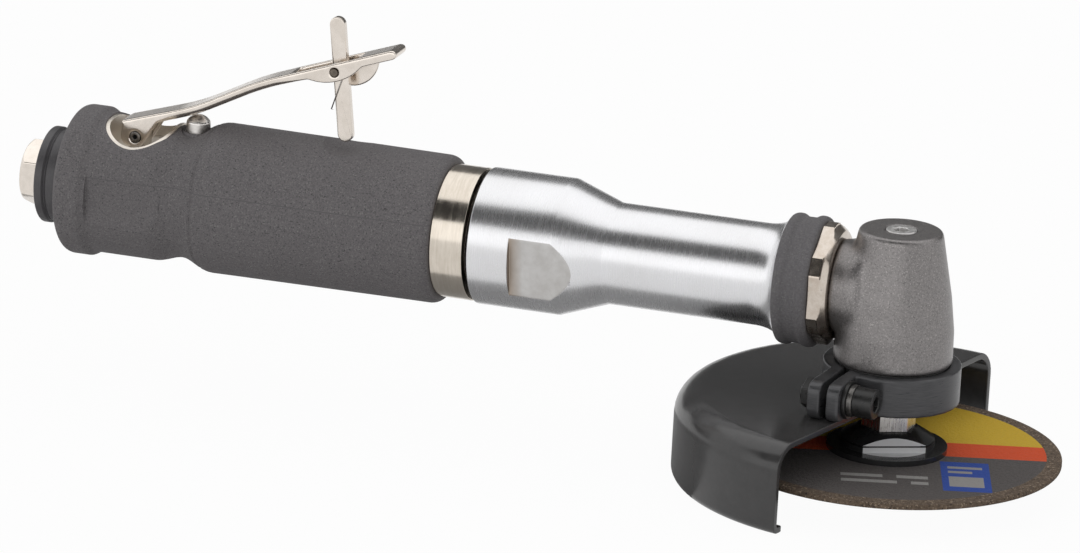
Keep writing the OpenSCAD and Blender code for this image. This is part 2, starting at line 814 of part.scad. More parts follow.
module valve_seat() {
    color("goldenrod") translate([valve_x, 0, seat_z]) difference() {
        cylinder(h = seat_h, d = valve_bore_d - 2 * fit);
        translate([0, 0, -over]) cylinder(h = seat_h + 2 * over, d = seat_hole_d);
    }
}

module valve_poppet() {
    color("black") translate([valve_x, 0, seat_z - fit - poppet_h]) cylinder(h = poppet_h, d = poppet_d);
}

// Compression spring under the poppet
spring_low = valve_floor + spring_wire_d / 2;
spring_high = seat_z - poppet_h - spring_wire_d / 2 - 2 * fit;
valve_path = [for (i = [0 : spring_turns * rings_per_turn])
    [valve_x + spring_mean_d / 2 * cos(360 * i / rings_per_turn),
     spring_mean_d / 2 * sin(360 * i / rings_per_turn),
     spring_low + (spring_high - spring_low) * i / (spring_turns * rings_per_turn)]];
echo(valve_spring_gap = wire_gap(valve_path, spring_wire_d));

module valve_spring() {
    color("silver") wire(valve_path, spring_wire_d, [0, 0, 1]);
}

// Air motor

module cylinder_liner() {
    color("slategray") difference() {
        bar_x(x_liner, x_front_plate, motor_fit_d);
        translate([0, 0, -liner_offset]) bar_x(x_liner - over, x_front_plate + over, liner_bore_d);
        for (x = [x_liner - over, x_front_plate - dowel_len / 2])
            translate([0, 0, dowel_r]) bar_x(x, x + dowel_len / 2 + over, dowel_d + 2 * fit);
    }
}

// An end plate with its bearing's pocket on the outer side and a dowel hole on the inner
module end_plate(x, pocket_x, dowel_x) {
    color("lightslategray") difference() {
        bar_x(x, x + plate_len, motor_fit_d);
        bar_x(x - over, x + plate_len + over, rotor_shaft_d + 4 * gap);
        bar_x(pocket_x, pocket_x + motor_bearing_w + over, motor_bearing_d + 2 * fit);
        translate([0, 0, dowel_r]) bar_x(dowel_x, dowel_x + dowel_len / 2 + over, dowel_d + 2 * fit);
    }
}

module rear_end_plate() {
    end_plate(x_rear_plate, x_rear_plate - over, x_liner - dowel_len / 2);
}

module front_end_plate() {
    end_plate(x_front_plate, x_stack - motor_bearing_w, x_front_plate - over);
}

module liner_dowels() {
    color("silver") for (x = [x_liner, x_front_plate])
        translate([0, 0, dowel_r]) bar_x(x - dowel_len / 2 + fit, x + dowel_len / 2 - fit, dowel_d);
}

module motor_bearings() {
    color("silver") for (x = [x_rear_plate, x_stack - motor_bearing_w])
        translate([x, 0, 0]) rotate([0, 90, 0]) bearing(motor_bearing_d, rotor_shaft_d + 2 * run, motor_bearing_w);
}

// Slots or vanes round the rotor, flush with its surface
module rotor_slots(thick, spare) {
    root = rotor_d / 2 - vane_depth - spare;
    for (i = [0 : vane_count - 1]) rotate([i * 360 / vane_count, 0, 0])
        translate([x_liner + end_clear - spare, -thick / 2, root])
            cube([liner_len - 2 * end_clear + 2 * spare, thick, rotor_d]);
}

module rotor() {
    color("slategray") difference() {
        union() {
            bar_x(x_liner + end_clear, x_front_plate - end_clear, rotor_d);
            bar_x(x_rear_plate, x_stack + rotor_tail, rotor_shaft_d);
        }
        rotor_slots(vane_t + 2 * fit, fit);
    }
}

module rotor_vanes() {
    color("peru") intersection() {
        bar_x(x_liner + end_clear, x_front_plate - end_clear, rotor_d);
        rotor_slots(vane_t, 0);
    }
}

// Drive

module extension_housing() {
    flare_r = ext_flare_d / 2 - ext_small_d / 2;
    front = x_nut - gap;
    color("lightgray") difference() {
        turned_x(concat(
            [[x_stack, 0], [x_stack, motor_fit_d / 2], [x_ext, motor_fit_d / 2], [x_ext, ext_big_d / 2],
             [x_cone, ext_big_d / 2], [x_small, ext_small_d / 2], [x_flare, ext_small_d / 2]],
            [for (i = [1 : arc_steps]) [x_flare + ext_flare_len * sin(90 * i / arc_steps),
                ext_small_d / 2 + flare_r * (1 - cos(90 * i / arc_steps))]],
            [[x_rubber, rubber_seat_d / 2], [front, rubber_seat_d / 2], [front, 0]]
        ));
        // Wrench flats, running out through the cone
        for (side = [-1, 1]) rotate([ext_flat_turn, 0, 0])
            translate([x_ext + ext_flat_start, side * (ext_flat_af / 2 + ext_big_d / 2) - ext_big_d / 2, -ext_big_d / 2])
                cube([x_small - x_ext - ext_flat_start, ext_big_d, ext_big_d]);
        // Bearing seat from the rear, shaft passage, and socket for the head's neck
        bar_x(x_stack - over, x_cone + bearing_setin, drive_bearing_d + 2 * fit);
        bar_x(x_stack, front + over, ext_bore_d);
        bar_x(front - neck_spigot_len, front + over, neck_spigot_d + 2 * fit);
    }
}

module rubber_ring() {
    edge = [rubber_d / 2 - over / 2, rubber_d / 2];
    color("black") difference() {
        turned_x(concat(
            [[x_rubber, 0], [x_rubber, edge[0]], [x_rubber + rubber_edge / 4, edge[1]]],
            [[x_rubber + rubber_edge / 2, edge[1]]],
            ease([x_rubber + rubber_edge / 2, edge[1]], [x_rubber + rubber_edge, rubber_waist_d / 2]),
            ease([x_nut - rubber_edge, rubber_waist_d / 2], [x_nut - rubber_edge / 2, edge[1]]),
            [[x_nut - rubber_edge / 4, edge[1]], [x_nut, edge[0]], [x_nut, 0]]
        ));
        bar_x(x_rubber - over, x_nut + over, rubber_seat_d + 2 * fit);
    }
}

module drive_shaft() {
    hub_x = x_stack + 2 * gap;
    pinion_seat = spindle_x - gear_r;
    color("silver") difference() {
        union() {
            bar_x(hub_x, hub_x + drive_hub_len, drive_hub_d);
            bar_x(hub_x, pinion_seat, drive_shaft_d);
        }
        bar_x(hub_x - over, x_stack + rotor_tail + fit, rotor_shaft_d + 2 * fit);
    }
}

module drive_bearings() {
    color("silver") for (x = [x_cone + bearing_setin - drive_bearing_w, x_neck - drive_bearing_w])
        translate([x, 0, 0]) rotate([0, 90, 0]) bearing(drive_bearing_d, drive_shaft_d + 2 * run, drive_bearing_w);
}

// A straight bevel gear about Z with its apex at the origin and its body below.
// The first slot, or the first tooth, lies on +X.
module bevel(teeth, pitch_r, mate_r, hub_d, hub_z, bore_d, bore_top, slot_first) {
    slope = atan(pitch_r / mate_r);
    length = norm([pitch_r, mate_r]);
    small_share = (length - tooth_face) / length;
    big = [pitch_r, -mate_r];
    small = big * small_share;
    tip = [cos(slope), sin(slope)];
    back = big - tooth_ded * tip;
    difference() {
        rotate_extrude() polygon([
            [0, small[1] + tooth_add * small_share * tip[1]],
            small + tooth_add * small_share * tip,
            big + tooth_add * tip,
            back - [0, gear_rim],
            [hub_d / 2, back[1] - gear_rim],
            [hub_d / 2, hub_z],
            [0, hub_z]
        ]);
        for (i = [0 : teeth - 1])
            rotate([0, 0, 360 / teeth * (i + (slot_first ? 0 : 0.5))])
                translate([big[0], 0, big[1]]) rotate([0, -slope, 0]) translate([-tooth_ded, -tooth_slot / 2, -over])
                    cube([tooth_ded + tooth_add + over, tooth_slot, tooth_face + 2 * over]);
        translate([0, 0, hub_z - over]) cylinder(h = bore_top - hub_z + over, d = bore_d);
    }
}

module bevel_pinion() {
    hub_end = x_neck + gap - spindle_x;
    color("gray") translate([spindle_x, 0, 0]) rotate([0, 90, 0])
        bevel(pinion_teeth, pinion_r, gear_r, pinion_hub_d, hub_end, drive_shaft_d + 2 * fit,
            -gear_r + fit, false);
}

module bevel_gear() {
    hub_end = z_bearing + lower_bearing_w + gap;
    color("gray") translate([spindle_x, 0, 0]) rotate([0, 0, 180])
        bevel(gear_teeth, gear_r, pinion_r, gear_hub_d, hub_end, spindle_d + 2 * fit, over, true);
}

module head_lock_nut() {
    chamfer_x = x_neck - nut_chamfer;
    color("tan") difference() {
        intersection() {
            translate([x_nut, 0, 0]) rotate([0, 90, 0]) hex_bar(nut_af, nut_len);
            translate([x_nut, 0, 0]) rotate([0, 90, 0]) rotate([0, 0, 30]) hex_bar(nut_corner_af, nut_len);
            turned_x([[x_nut, 0], [x_nut, nut_af], [chamfer_x, nut_af], [chamfer_x, nut_face_d / 2 + nut_chamfer],
                [x_neck, nut_face_d / 2], [x_neck, 0]]);
        }
        bar_x(x_nut - over, x_neck + over, neck_spigot_d + 2 * fit);
    }
}

module angle_head() {
    top_r = head_top_d / 2;
    color("dimgray") difference() {
        union() {
            // Tapered body, flat where its foot meets the lock nut's face
            difference() {
                turned_z([
                    [0, -head_bottom_z], [head_low_d / 2, -head_bottom_z], [head_bottom_d / 2, -head_wall_z],
                    [head_low_d / 2, -head_low_z], [head_mid_d / 2, 0], [top_r, head_top_z - head_edge],
                    [top_r - head_edge, head_top_z], [0, head_top_z]
                ]);
                translate([x_neck + fit - head_bottom_d, -head_bottom_d / 2, -head_bottom_z - over])
                    cube([head_bottom_d, head_bottom_d, head_bottom_z + head_top_z + 2 * over]);
            }
            bar_x(x_nut - neck_spigot_len, x_neck, neck_spigot_d);
            turned_x(concat(
                [[x_neck, 0], [x_neck, neck_d / 2]],
                ease([x_neck + gap, neck_d / 2], [x_neck + neck_flare_len, neck_d / 2 + neck_flare]),
                [[x_neck + neck_flare_len, 0]]
            ));
        }
        // Pinion bore, gear chamber, retainer thread, upper bearing pocket and plug hole
        bar_x(x_nut - neck_spigot_len - over, spindle_x + drive_shaft_d / 2 + gap, drive_bearing_d + 2 * fit);
        bar_z(-head_bottom_z - over, 0, chamber_d);
        bar_z(-head_bottom_z - over, -head_bottom_z + retainer_thread_len + gap, retainer_thread_d + 2 * fit);
        bar_z(0, upper_bearing_z + upper_bearing_w + fit, upper_bearing_d + 2 * fit);
        bar_z(0, head_top_z, drain_d);
        bar_z(head_top_z - plug_len, head_top_z + over, plug_d + 2 * fit);
    }
}

module grease_plug() {
    color("silver") difference() {
        bar_z(head_top_z - plug_len + fit, head_top_z, plug_d);
        translate([spindle_x, 0, head_top_z - plug_hex_depth]) hex_bar(plug_hex_af, plug_hex_depth + over);
    }
}

module spindle() {
    color("silver") translate([spindle_x, 0, 0]) difference() {
        union() {
            translate([0, 0, z_bearing - gap]) cylinder(h = upper_bearing_z - gap - z_bearing + gap, d = spindle_d);
            cylinder(h = upper_bearing_z + upper_bearing_w, d = upper_journal_d);
            translate([0, 0, z_hex]) cylinder(h = z_bearing - gap - z_hex, d = spindle_hub_d);
            translate([0, 0, z_flange]) rotate([0, 0, flange_turn]) hex_bar(spindle_af, spindle_hex_len);
            translate([0, 0, z_lower - nose_short]) cylinder(h = z_flange - z_lower + nose_short, d = arbor_d - 2 * fit);
        }
        translate([0, 0, z_screw - over]) cylinder(h = screw_len + gap + over, d = screw_d + 2 * fit);
    }
}

module upper_spindle_bearing() {
    color("silver") translate([spindle_x, 0, upper_bearing_z])
        bearing(upper_bearing_d, upper_journal_d + 2 * run, upper_bearing_w);
}

module lower_spindle_bearing() {
    color("silver") translate([spindle_x, 0, z_bearing])
        bearing(lower_bearing_d, spindle_d + 2 * run, lower_bearing_w);
}

module bearing_retainer() {
    color("dimgray") difference() {
        union() {
            bar_z(z_retainer, -head_bottom_z, retainer_d);
            bar_z(z_retainer, -head_bottom_z + retainer_thread_len, retainer_thread_d);
        }
        bar_z(z_bearing, over, lower_bearing_d + 2 * fit);
        bar_z(z_retainer - over, z_bearing + over, spindle_hub_d + 4 * gap);
    }
}

// Wheel

module upper_flange() {
    rim_z = z_flange - flange_cone_h;
    groove_z = rim_z - flange_groove_h;
    tier_z = groove_z - flange_tier_h;
    color("black") difference() {
        turned_z([
            [0, z_flange], [flange_top_d / 2, z_flange], [flange_hub_d / 2, rim_z], [flange_groove_d / 2, rim_z],
            [flange_groove_d / 2, groove_z], [flange_hub_d / 2, groove_z], [flange_hub_d / 2, tier_z],
            [flange_d / 2, tier_z], [flange_d / 2, z_wheel],
            [flange_relief_d / 2, z_wheel], [flange_relief_d / 2, z_wheel + flange_relief], [0, z_wheel + flange_relief]
        ]);
        bar_z(z_wheel - over, z_flange + over, arbor_d);
        // Wrench flats on the hub
        for (side = [0, 180]) translate([spindle_x, 0, tier_z]) rotate([0, 0, flange_turn + side])
            translate([-flange_d / 2, flange_flat_af / 2, 0]) cube([flange_d, flange_d, upper_flange_h]);
    }
}

module cut_off_wheel() {
    color("saddlebrown") difference() {
        bar_z(z_lower, z_wheel, wheel_d);
        bar_z(z_lower - over, z_wheel + over, arbor_d);
    }
}

module lower_flange() {
    color("black") difference() {
        bar_z(z_screw, z_lower, flange_d);
        bar_z(z_screw - over, z_lower + over, screw_d + 2 * fit);
        bar_z(z_lower - nose_short - gap, z_lower + over, arbor_d);
    }
}

module flange_screw() {
    color("silver") difference() {
        union() {
            bar_z(z_screw - screw_head_h, z_screw, screw_head_d);
            bar_z(z_screw - screw_head_h, z_screw + screw_len, screw_d);
        }
        translate([spindle_x, 0, z_screw - screw_head_h - over]) hex_bar(screw_hex_af, screw_hex_depth + over);
    }
}

// Guard

module guard_shell() {
    outer = guard_d / 2;
    low = z_guard - guard_h;
    bend = max(guard_round - guard_t, guard_t / 2);
    hole = retainer_d / 2 + gap;
    foot = max(guard_foot_r - guard_t, guard_t / 4);
    color("black") translate([spindle_x, 0, 0]) rotate([0, 0, guard_mid - guard_sweep / 2])
        rotate_extrude(angle = guard_sweep) polygon(concat(
            [[hole, z_guard - guard_t], [hole, z_guard]],
            arc([outer - guard_round, z_guard - guard_round], guard_round, 90, 0),
            arc([outer - guard_foot_r, low + guard_foot_r], guard_foot_r, 0, -90),
            [[outer - guard_lip, low], [outer - guard_lip, low + guard_t]],
            arc([outer - guard_t - foot, low + guard_t + foot], foot, -90, 0),
            arc([outer - guard_t - bend, z_guard - guard_t - bend], bend, 0, 90)
        ));
}

// Places of what is stacked on the clamp's screw, along its axis
ear_left = clamp_split - clamp_slit / 2 - clamp_ear_t;
ear_right = clamp_split + clamp_slit / 2;
washer_at = ear_right + clamp_ear_t;
lock_washer_at = washer_at + washer_t;
head_at = lock_washer_at + lock_washer_t;
nut_at = ear_left - clamp_nut_h;
clamp_z = z_band - band_h / 2;

// Sets children in the clamp's frame: X along the screw, -Y outward
module at_clamp() {
    translate([spindle_x, 0, clamp_z]) rotate([0, 0, clamp_turn]) children();
}

// A round bar along the clamp's screw
module clamp_bar(x0, x1, d) {
    translate([0, -clamp_reach, 0]) bar_x(x0, x1, d);
}

module clamp_band() {
    inner = retainer_d + 2 * run;
    color("black") at_clamp() difference() {
        union() {
            translate([0, 0, -band_h / 2]) cylinder(h = band_h, d = band_d);
            translate([ear_left, -clamp_ear_reach, -band_h / 2])
                cube([2 * clamp_ear_t + clamp_slit, clamp_ear_reach, band_h]);
        }
        translate([0, 0, -band_h]) cylinder(h = 2 * band_h, d = inner);
        translate([clamp_split - clamp_slit / 2, -clamp_ear_reach - over, -band_h])
            cube([clamp_slit, clamp_ear_reach + over, 2 * band_h]);
        clamp_bar(ear_left - over, washer_at + over, clamp_screw_d + 2 * fit);
    }
}

module clamp_screw() {
    color("dimgray") at_clamp() difference() {
        union() {
            clamp_bar(nut_at - clamp_tail, head_at, clamp_screw_d);
            clamp_bar(head_at, head_at + clamp_head_h, clamp_head_d);
        }
        translate([head_at + clamp_head_h - clamp_hex_depth, -clamp_reach, 0]) rotate([0, 90, 0])
            hex_bar(clamp_hex_af, clamp_hex_depth + over);
    }
}

// A washer on the clamp's screw
module clamp_ring(x, d, t) {
    at_clamp() difference() {
        clamp_bar(x, x + t, d);
        clamp_bar(x - over, x + t + over, clamp_screw_d + 2 * fit);
    }
}

module clamp_lock_washer() {
    color("dimgray") clamp_ring(lock_washer_at, lock_washer_d, lock_washer_t);
}

module clamp_washer() {
    color("dimgray") clamp_ring(washer_at, washer_d, washer_t);
}

module clamp_nut() {
    color("dimgray") at_clamp() difference() {
        translate([nut_at, -clamp_reach, 0]) rotate([0, 90, 0]) hex_bar(clamp_nut_af, clamp_nut_h);
        clamp_bar(nut_at - over, ear_left + over, clamp_screw_d + 2 * fit);
    }
}

motor_housing();
grip_sleeve();
inlet_bushing();
inlet_screen();
exhaust_collar();
muffler_felt();
lock_ring();
throttle_lever();
lever_pin();
lock_latch();
latch_pin();
latch_spring();
valve_pin();
valve_o_ring();
valve_bushing();
valve_seat();
valve_poppet();
valve_spring();
cylinder_liner();
rear_end_plate();
front_end_plate();
liner_dowels();
motor_bearings();
rotor();
rotor_vanes();
extension_housing();
rubber_ring();
drive_shaft();
drive_bearings();
bevel_pinion();
head_lock_nut();
angle_head();
grease_plug();
spindle();
bevel_gear();
upper_spindle_bearing();
lower_spindle_bearing();
bearing_retainer();
upper_flange();
cut_off_wheel();
lower_flange();
flange_screw();
guard_shell();
clamp_band();
clamp_screw();
clamp_lock_washer();
clamp_washer();
clamp_nut();
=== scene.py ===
import json
import math

import bmesh
import bpy
from mathutils import Matrix, Vector
from mathutils.bvhtree import BVHTree

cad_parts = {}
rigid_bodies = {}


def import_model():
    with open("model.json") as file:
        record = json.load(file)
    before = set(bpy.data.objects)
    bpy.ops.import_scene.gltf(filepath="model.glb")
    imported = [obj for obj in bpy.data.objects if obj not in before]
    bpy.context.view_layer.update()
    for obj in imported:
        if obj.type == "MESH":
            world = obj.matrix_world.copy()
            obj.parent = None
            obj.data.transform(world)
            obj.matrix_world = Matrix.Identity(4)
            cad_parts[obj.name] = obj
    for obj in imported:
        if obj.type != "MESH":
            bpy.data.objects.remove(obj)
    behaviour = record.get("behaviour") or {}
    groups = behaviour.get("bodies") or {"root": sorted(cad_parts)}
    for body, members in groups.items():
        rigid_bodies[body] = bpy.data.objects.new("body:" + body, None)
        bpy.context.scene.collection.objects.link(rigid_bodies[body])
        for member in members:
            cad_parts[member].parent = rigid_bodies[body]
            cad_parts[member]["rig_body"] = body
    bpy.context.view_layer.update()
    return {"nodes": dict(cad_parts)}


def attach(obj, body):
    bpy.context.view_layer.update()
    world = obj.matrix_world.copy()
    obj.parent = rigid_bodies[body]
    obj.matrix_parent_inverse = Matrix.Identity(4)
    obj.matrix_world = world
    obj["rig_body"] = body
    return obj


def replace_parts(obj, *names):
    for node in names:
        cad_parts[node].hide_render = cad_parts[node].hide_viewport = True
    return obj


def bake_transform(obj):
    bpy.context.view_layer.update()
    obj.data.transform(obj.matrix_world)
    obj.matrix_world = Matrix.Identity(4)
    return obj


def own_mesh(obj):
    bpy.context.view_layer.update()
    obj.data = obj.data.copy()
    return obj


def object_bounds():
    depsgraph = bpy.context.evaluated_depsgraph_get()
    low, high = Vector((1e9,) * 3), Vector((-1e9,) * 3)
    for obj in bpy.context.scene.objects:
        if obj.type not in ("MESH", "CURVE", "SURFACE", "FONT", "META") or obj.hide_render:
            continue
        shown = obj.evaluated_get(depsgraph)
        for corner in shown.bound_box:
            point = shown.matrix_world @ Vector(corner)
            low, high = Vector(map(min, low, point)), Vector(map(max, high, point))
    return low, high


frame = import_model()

# Motor housing: a turned metal tube inside the grip, milled open at the top for the lever's foot.
# Only the bright lining of that pocket shows. Its finish is the first that needs the shared
# grain: noise on the piece's own coordinates, stretched along the way that the tool cut.
MM = 0.001
GRAIN_DETAIL, GRAIN_ROUGHNESS = 5.0, 0.62
GRAIN_LOW, GRAIN_HIGH = 0.34, 0.66
FLECK_DETAIL, FLECK_FADE = 1.0, 0.08


def new_group(name, inputs, outputs):
    """A shader group with these sockets, and its input and output nodes."""
    group = bpy.data.node_groups.new(name, "ShaderNodeTree")
    for label, kind, value in inputs:
        socket = group.interface.new_socket(label, in_out="INPUT", socket_type=kind)
        socket.default_value = value
    for label, kind in outputs:
        group.interface.new_socket(label, in_out="OUTPUT", socket_type=kind)
    return group, group.nodes.new("NodeGroupInput"), group.nodes.new("NodeGroupOutput")


def add(tree, kind, sockets=None, **settings):
    """A new node, set first, whose sockets then each get a link or a plain value."""
    made = tree.nodes.new(kind)
    for key, value in settings.items():
        setattr(made, key, value)
    for key, value in (sockets or {}).items():
        if isinstance(value, bpy.types.NodeSocket):
            tree.links.new(value, made.inputs[key])
        else:
            made.inputs[key].default_value = value
    return made


def combined(tree, operation, one, other):
    """Two values or masks put together by one operation."""
    return add(tree, "ShaderNodeMath", {0: one, 1: other}, operation=operation).outputs[0]


def laid_over(tree, mask, under, over):
    """One colour laid over another, where the mask is 1."""
    return add(tree, "ShaderNodeMix", {"Factor": mask, 6: under, 7: over}, data_type="RGBA").outputs[2]


def grain_group():
    """Fine noise, stretched along the marks of the tool, as a mask and as a height."""
    group, given, out = new_group(
        "worked_grain",
        [("Stretch", "NodeSocketVector", (1, 1, 1)), ("Scale", "NodeSocketFloat", 1000.0)],
        [("Mask", "NodeSocketFloat"), ("Height", "NodeSocketFloat")],
    )
    spot = add(group, "ShaderNodeTexCoord").outputs["Object"]
    along = add(group, "ShaderNodeVectorMath", {0: spot, 1: given.outputs["Stretch"]}, operation="MULTIPLY")
    noise = add(group, "ShaderNodeTexNoise", {
        "Vector": along.outputs[0], "Scale": given.outputs["Scale"],
        "Detail": GRAIN_DETAIL, "Roughness": GRAIN_ROUGHNESS,
    })
    spread = add(group, "ShaderNodeMapRange", {
        "Value": noise.outputs["Fac"], "From Min": GRAIN_LOW, "From Max": GRAIN_HIGH,
    })
    group.links.new(spread.outputs["Result"], out.inputs["Mask"])
    group.links.new(noise.outputs["Fac"], out.inputs["Height"])
    return group


def fleck_group():
    """Scattered specks, fewer as the threshold rises."""
    group, given, out = new_group(
        "fleck",
        [("Scale", "NodeSocketFloat", 1500.0), ("Threshold", "NodeSocketFloat", 0.6)],
        [("Mask", "NodeSocketFloat")],
    )
    spot = add(group, "ShaderNodeTexCoord").outputs["Object"]
    noise = add(group, "ShaderNodeTexNoise", {
        "Vector": spot, "Scale": given.outputs["Scale"], "Detail": FLECK_DETAIL,
    })
    cut = add(group, "ShaderNodeMapRange", {
        "Value": noise.outputs["Fac"], "From Min": given.outputs["Threshold"],
        "From Max": combined(group, "ADD", given.outputs["Threshold"], FLECK_FADE),
    })
    group.links.new(cut.outputs["Result"], out.inputs["Mask"])
    return group


grain = grain_group()
fleck = fleck_group()


def rgba(colour):
    return (*colour, 1.0)


def grain_on(tree, scale, stretch=(1, 1, 1)):
    """The shared grain, placed in a material with its own values."""
    return add(tree, "ShaderNodeGroup", {"Stretch": stretch, "Scale": scale}, node_tree=grain)


def finish(name, *, light, dark, roughness, spread, scale, metallic=0.0, stretch=(1, 1, 1), bump=0.15,
           depth=0.03, patch=0.25, patch_scale=70.0, patch_colour=None, flecks=()):
    """A material whose grain sets colour, roughness and bump, with slow patches and any flecks.

    The bump's depth is in millimetres. Each fleck is a scale, a threshold and a colour.
    """
    material = bpy.data.materials.new(name)
    material.use_nodes = True
    tree = material.node_tree
    shader = tree.nodes["Principled BSDF"]
    fine = grain_on(tree, scale, stretch)
    slow = grain_on(tree, patch_scale)
    colour = laid_over(tree, fine.outputs["Mask"], rgba(dark), rgba(light))
    share = combined(tree, "MULTIPLY", slow.outputs["Mask"], patch)
    colour = laid_over(tree, share, colour, rgba(patch_colour or dark))
    for fleck_scale, threshold, fleck_colour in flecks:
        spots = add(tree, "ShaderNodeGroup", {"Scale": fleck_scale, "Threshold": threshold}, node_tree=fleck)
        colour = laid_over(tree, spots.outputs["Mask"], colour, rgba(fleck_colour))
    tree.links.new(colour, shader.inputs["Base Color"])
    rough = add(tree, "ShaderNodeMapRange", {
        "Value": fine.outputs["Mask"], "To Min": roughness - spread, "To Max": roughness + spread,
    })
    tree.links.new(rough.outputs["Result"], shader.inputs["Roughness"])
    relief = add(tree, "ShaderNodeBump", {
        "Strength": bump, "Distance": depth * MM, "Height": fine.outputs["Height"],
    })
    tree.links.new(relief.outputs["Normal"], shader.inputs["Normal"])
    shader.inputs["Metallic"].default_value = metallic
    return material


def dress(material, *nodes):
    """Gives nodes that keep their own shape a finish."""
    for name in nodes:
        mesh = frame["nodes"][name].data
        mesh.materials.clear()
        mesh.materials.append(material)


housing_metal = finish("milled_housing", light=(0.80, 0.75, 0.68), dark=(0.64, 0.59, 0.53), metallic=1.0,
                       roughness=0.4, spread=0.06, scale=900, stretch=(1, 5, 5))
dress(housing_metal, "motor_housing")

# Air motor: liner, end plates, dowels, bearings, rotor and vanes, a stack clamped in the housing's bore.
# Ground and turned steel, with vanes of sawn phenolic. None of it shows until the tool is opened.
ground_steel = finish("ground_steel", light=(0.60, 0.60, 0.61), dark=(0.42, 0.42, 0.43), metallic=1.0,
                      roughness=0.3, spread=0.06, scale=1400, stretch=(6, 1, 1))
vane_sheet = finish("vane_sheet", light=(0.30, 0.17, 0.07), dark=(0.17, 0.09, 0.04),
                    roughness=0.6, spread=0.08, scale=700, stretch=(0.2, 3, 3))
dress(ground_steel, "cylinder_liner", "rear_end_plate", "front_end_plate", "liner_dowels", "motor_bearings",
      "rotor")
dress(vane_sheet, "rotor_vanes")

# Grip sleeve: a charcoal composite moulding with pale and dark flecks, pressed over the housing.
# The mould leaves its edges soft, a crease in front of the waist and a fine parting line along each side.
GRIP_EDGE, GRIP_SHARP, GRIP_END = 0.8, 18.0, 140.0
CREASE_X, CREASE_HALF, CREASE_SHARE, BORE_REACH = 58.4, 0.9, 0.026, 17.8
PARTING_START, PARTING_LOW, PARTING_HIGH = 22.0, 6.35, 6.6
PARTING_COLOUR, PARTING_ROUGHNESS = (0.108, 0.102, 0.105), 0.75
OUTSIDE = 40.0
WELD, SHORT_EDGE, FLAT_ANGLE = 0.001, 0.02, 0.6
ROUND_SHARES, ROUND_STEPS = (1.0, 0.75, 0.5, 0.35, 0.2), 3
SHARP_ANGLE, SHADE_ANGLE = 26.0, 38.0


def merged_copy(node):
    """A copy of a node's solid with its loose triangles joined."""
    bm = bmesh.new()
    bm.from_mesh(frame["nodes"][node].data)
    bmesh.ops.remove_doubles(bm, verts=bm.verts, dist=WELD * MM)
    return bm


def place(bm, name, material, node, rides=True):
    """Puts a finished mesh in the scene with the given material, on the body of the node that it stands for.
    """
    mesh = bpy.data.meshes.new(name)
    bm.to_mesh(mesh)
    bm.free()
    mesh.materials.clear()
    mesh.materials.append(material)
    mesh.shade_smooth()
    piece = bpy.data.objects.new(name, mesh)
    bpy.context.scene.collection.objects.link(piece)
    if rides:
        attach(piece, frame["nodes"][node]["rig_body"])
    return piece


def flat_faces(bm):
    """Joins the flat triangles of a solid into whole faces, so that only real edges are left."""
    bmesh.ops.remove_doubles(bm, verts=bm.verts, dist=SHORT_EDGE * MM)
    bmesh.ops.dissolve_limit(bm, angle_limit=math.radians(FLAT_ANGLE), verts=bm.verts, edges=bm.edges)


def rounded(bm, edges, size, steps):
    """Rounds edges by a size in millimetres."""
    bmesh.ops.bevel(bm, geom=edges, offset=size * MM, offset_type="OFFSET", affect="EDGES", segments=steps,
                    profile=0.5, clamp_overlap=False, loop_slide=True, material=-1)


def small_faces(bm):
    """Splits faces of more than four corners, so that they shade evenly."""
    bmesh.ops.triangulate(bm, faces=[f for f in bm.faces if len(f.verts) > 4])


def broken_edges(node, name, material, radius, sharp=SHARP_ANGLE):
    """A node's solid with its sharp edges broken, by the largest round that leaves no stray face."""
    solid = merged_copy(node)
    flat_faces(solid)
    surface = BVHTree.FromBMesh(solid)
    for share in ROUND_SHARES:
        bm = solid.copy()
        edges = [e for e in bm.edges
                 if len(e.link_faces) == 2 and e.calc_face_angle(0.0) > math.radians(sharp)]
        rounded(bm, edges, radius * share, ROUND_STEPS)
        if max(surface.find_nearest(v.co)[3] for v in bm.verts) < radius * share * MM:
            break
        bm.free()
    else:
        bm = solid.copy()
    solid.free()
    small_faces(bm)
    piece = place(bm, name, material, node)
    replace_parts(piece, node)
    piece.data.set_sharp_from_angle(angle=math.radians(SHADE_ANGLE))
    even = piece.modifiers.new("flat_shading", "WEIGHTED_NORMAL")
    even.keep_sharp = True
    return piece


def block_group():
    """A mask that is 1 inside an upright block."""
    sides = ("Vector", "Low", "High")
    group, given, out = new_group(
        "inside_block",
        [(side, "NodeSocketVector", (0, 0, 0)) for side in sides],
        [("Mask", "NodeSocketFloat")],
    )
    where, low, high = (add(group, "ShaderNodeSeparateXYZ", {0: given.outputs[side]}) for side in sides)
    mask = 1.0
    for axis in range(3):
        for one, other in ((where, low), (high, where)):
            past = combined(group, "GREATER_THAN", one.outputs[axis], other.outputs[axis])
            mask = combined(group, "MULTIPLY", mask, past)
    group.links.new(mask, out.inputs["Mask"])
    return group


block = block_group()


def turned_place(tree, centre=(0, 0, 0), turn=(0, 0, 0), mirrored=False):
    """Object coordinates moved to a centre and turned there, folded onto one side where mirrored."""
    turned = add(tree, "ShaderNodeMapping", {
        "Vector": add(tree, "ShaderNodeTexCoord").outputs["Object"], "Location": Vector(centre) * MM,
        "Rotation": [math.radians(angle) for angle in turn],
    }, vector_type="TEXTURE").outputs[0]
    if not mirrored:
        return turned
    return add(tree, "ShaderNodeVectorMath", {0: turned}, operation="ABSOLUTE").outputs[0]


def within(tree, where, low, high):
    """A mask for the block between two corners, given in millimetres."""
    return add(tree, "ShaderNodeGroup", {
        "Vector": where, "Low": Vector(low) * MM, "High": Vector(high) * MM,
    }, node_tree=block).outputs["Mask"]


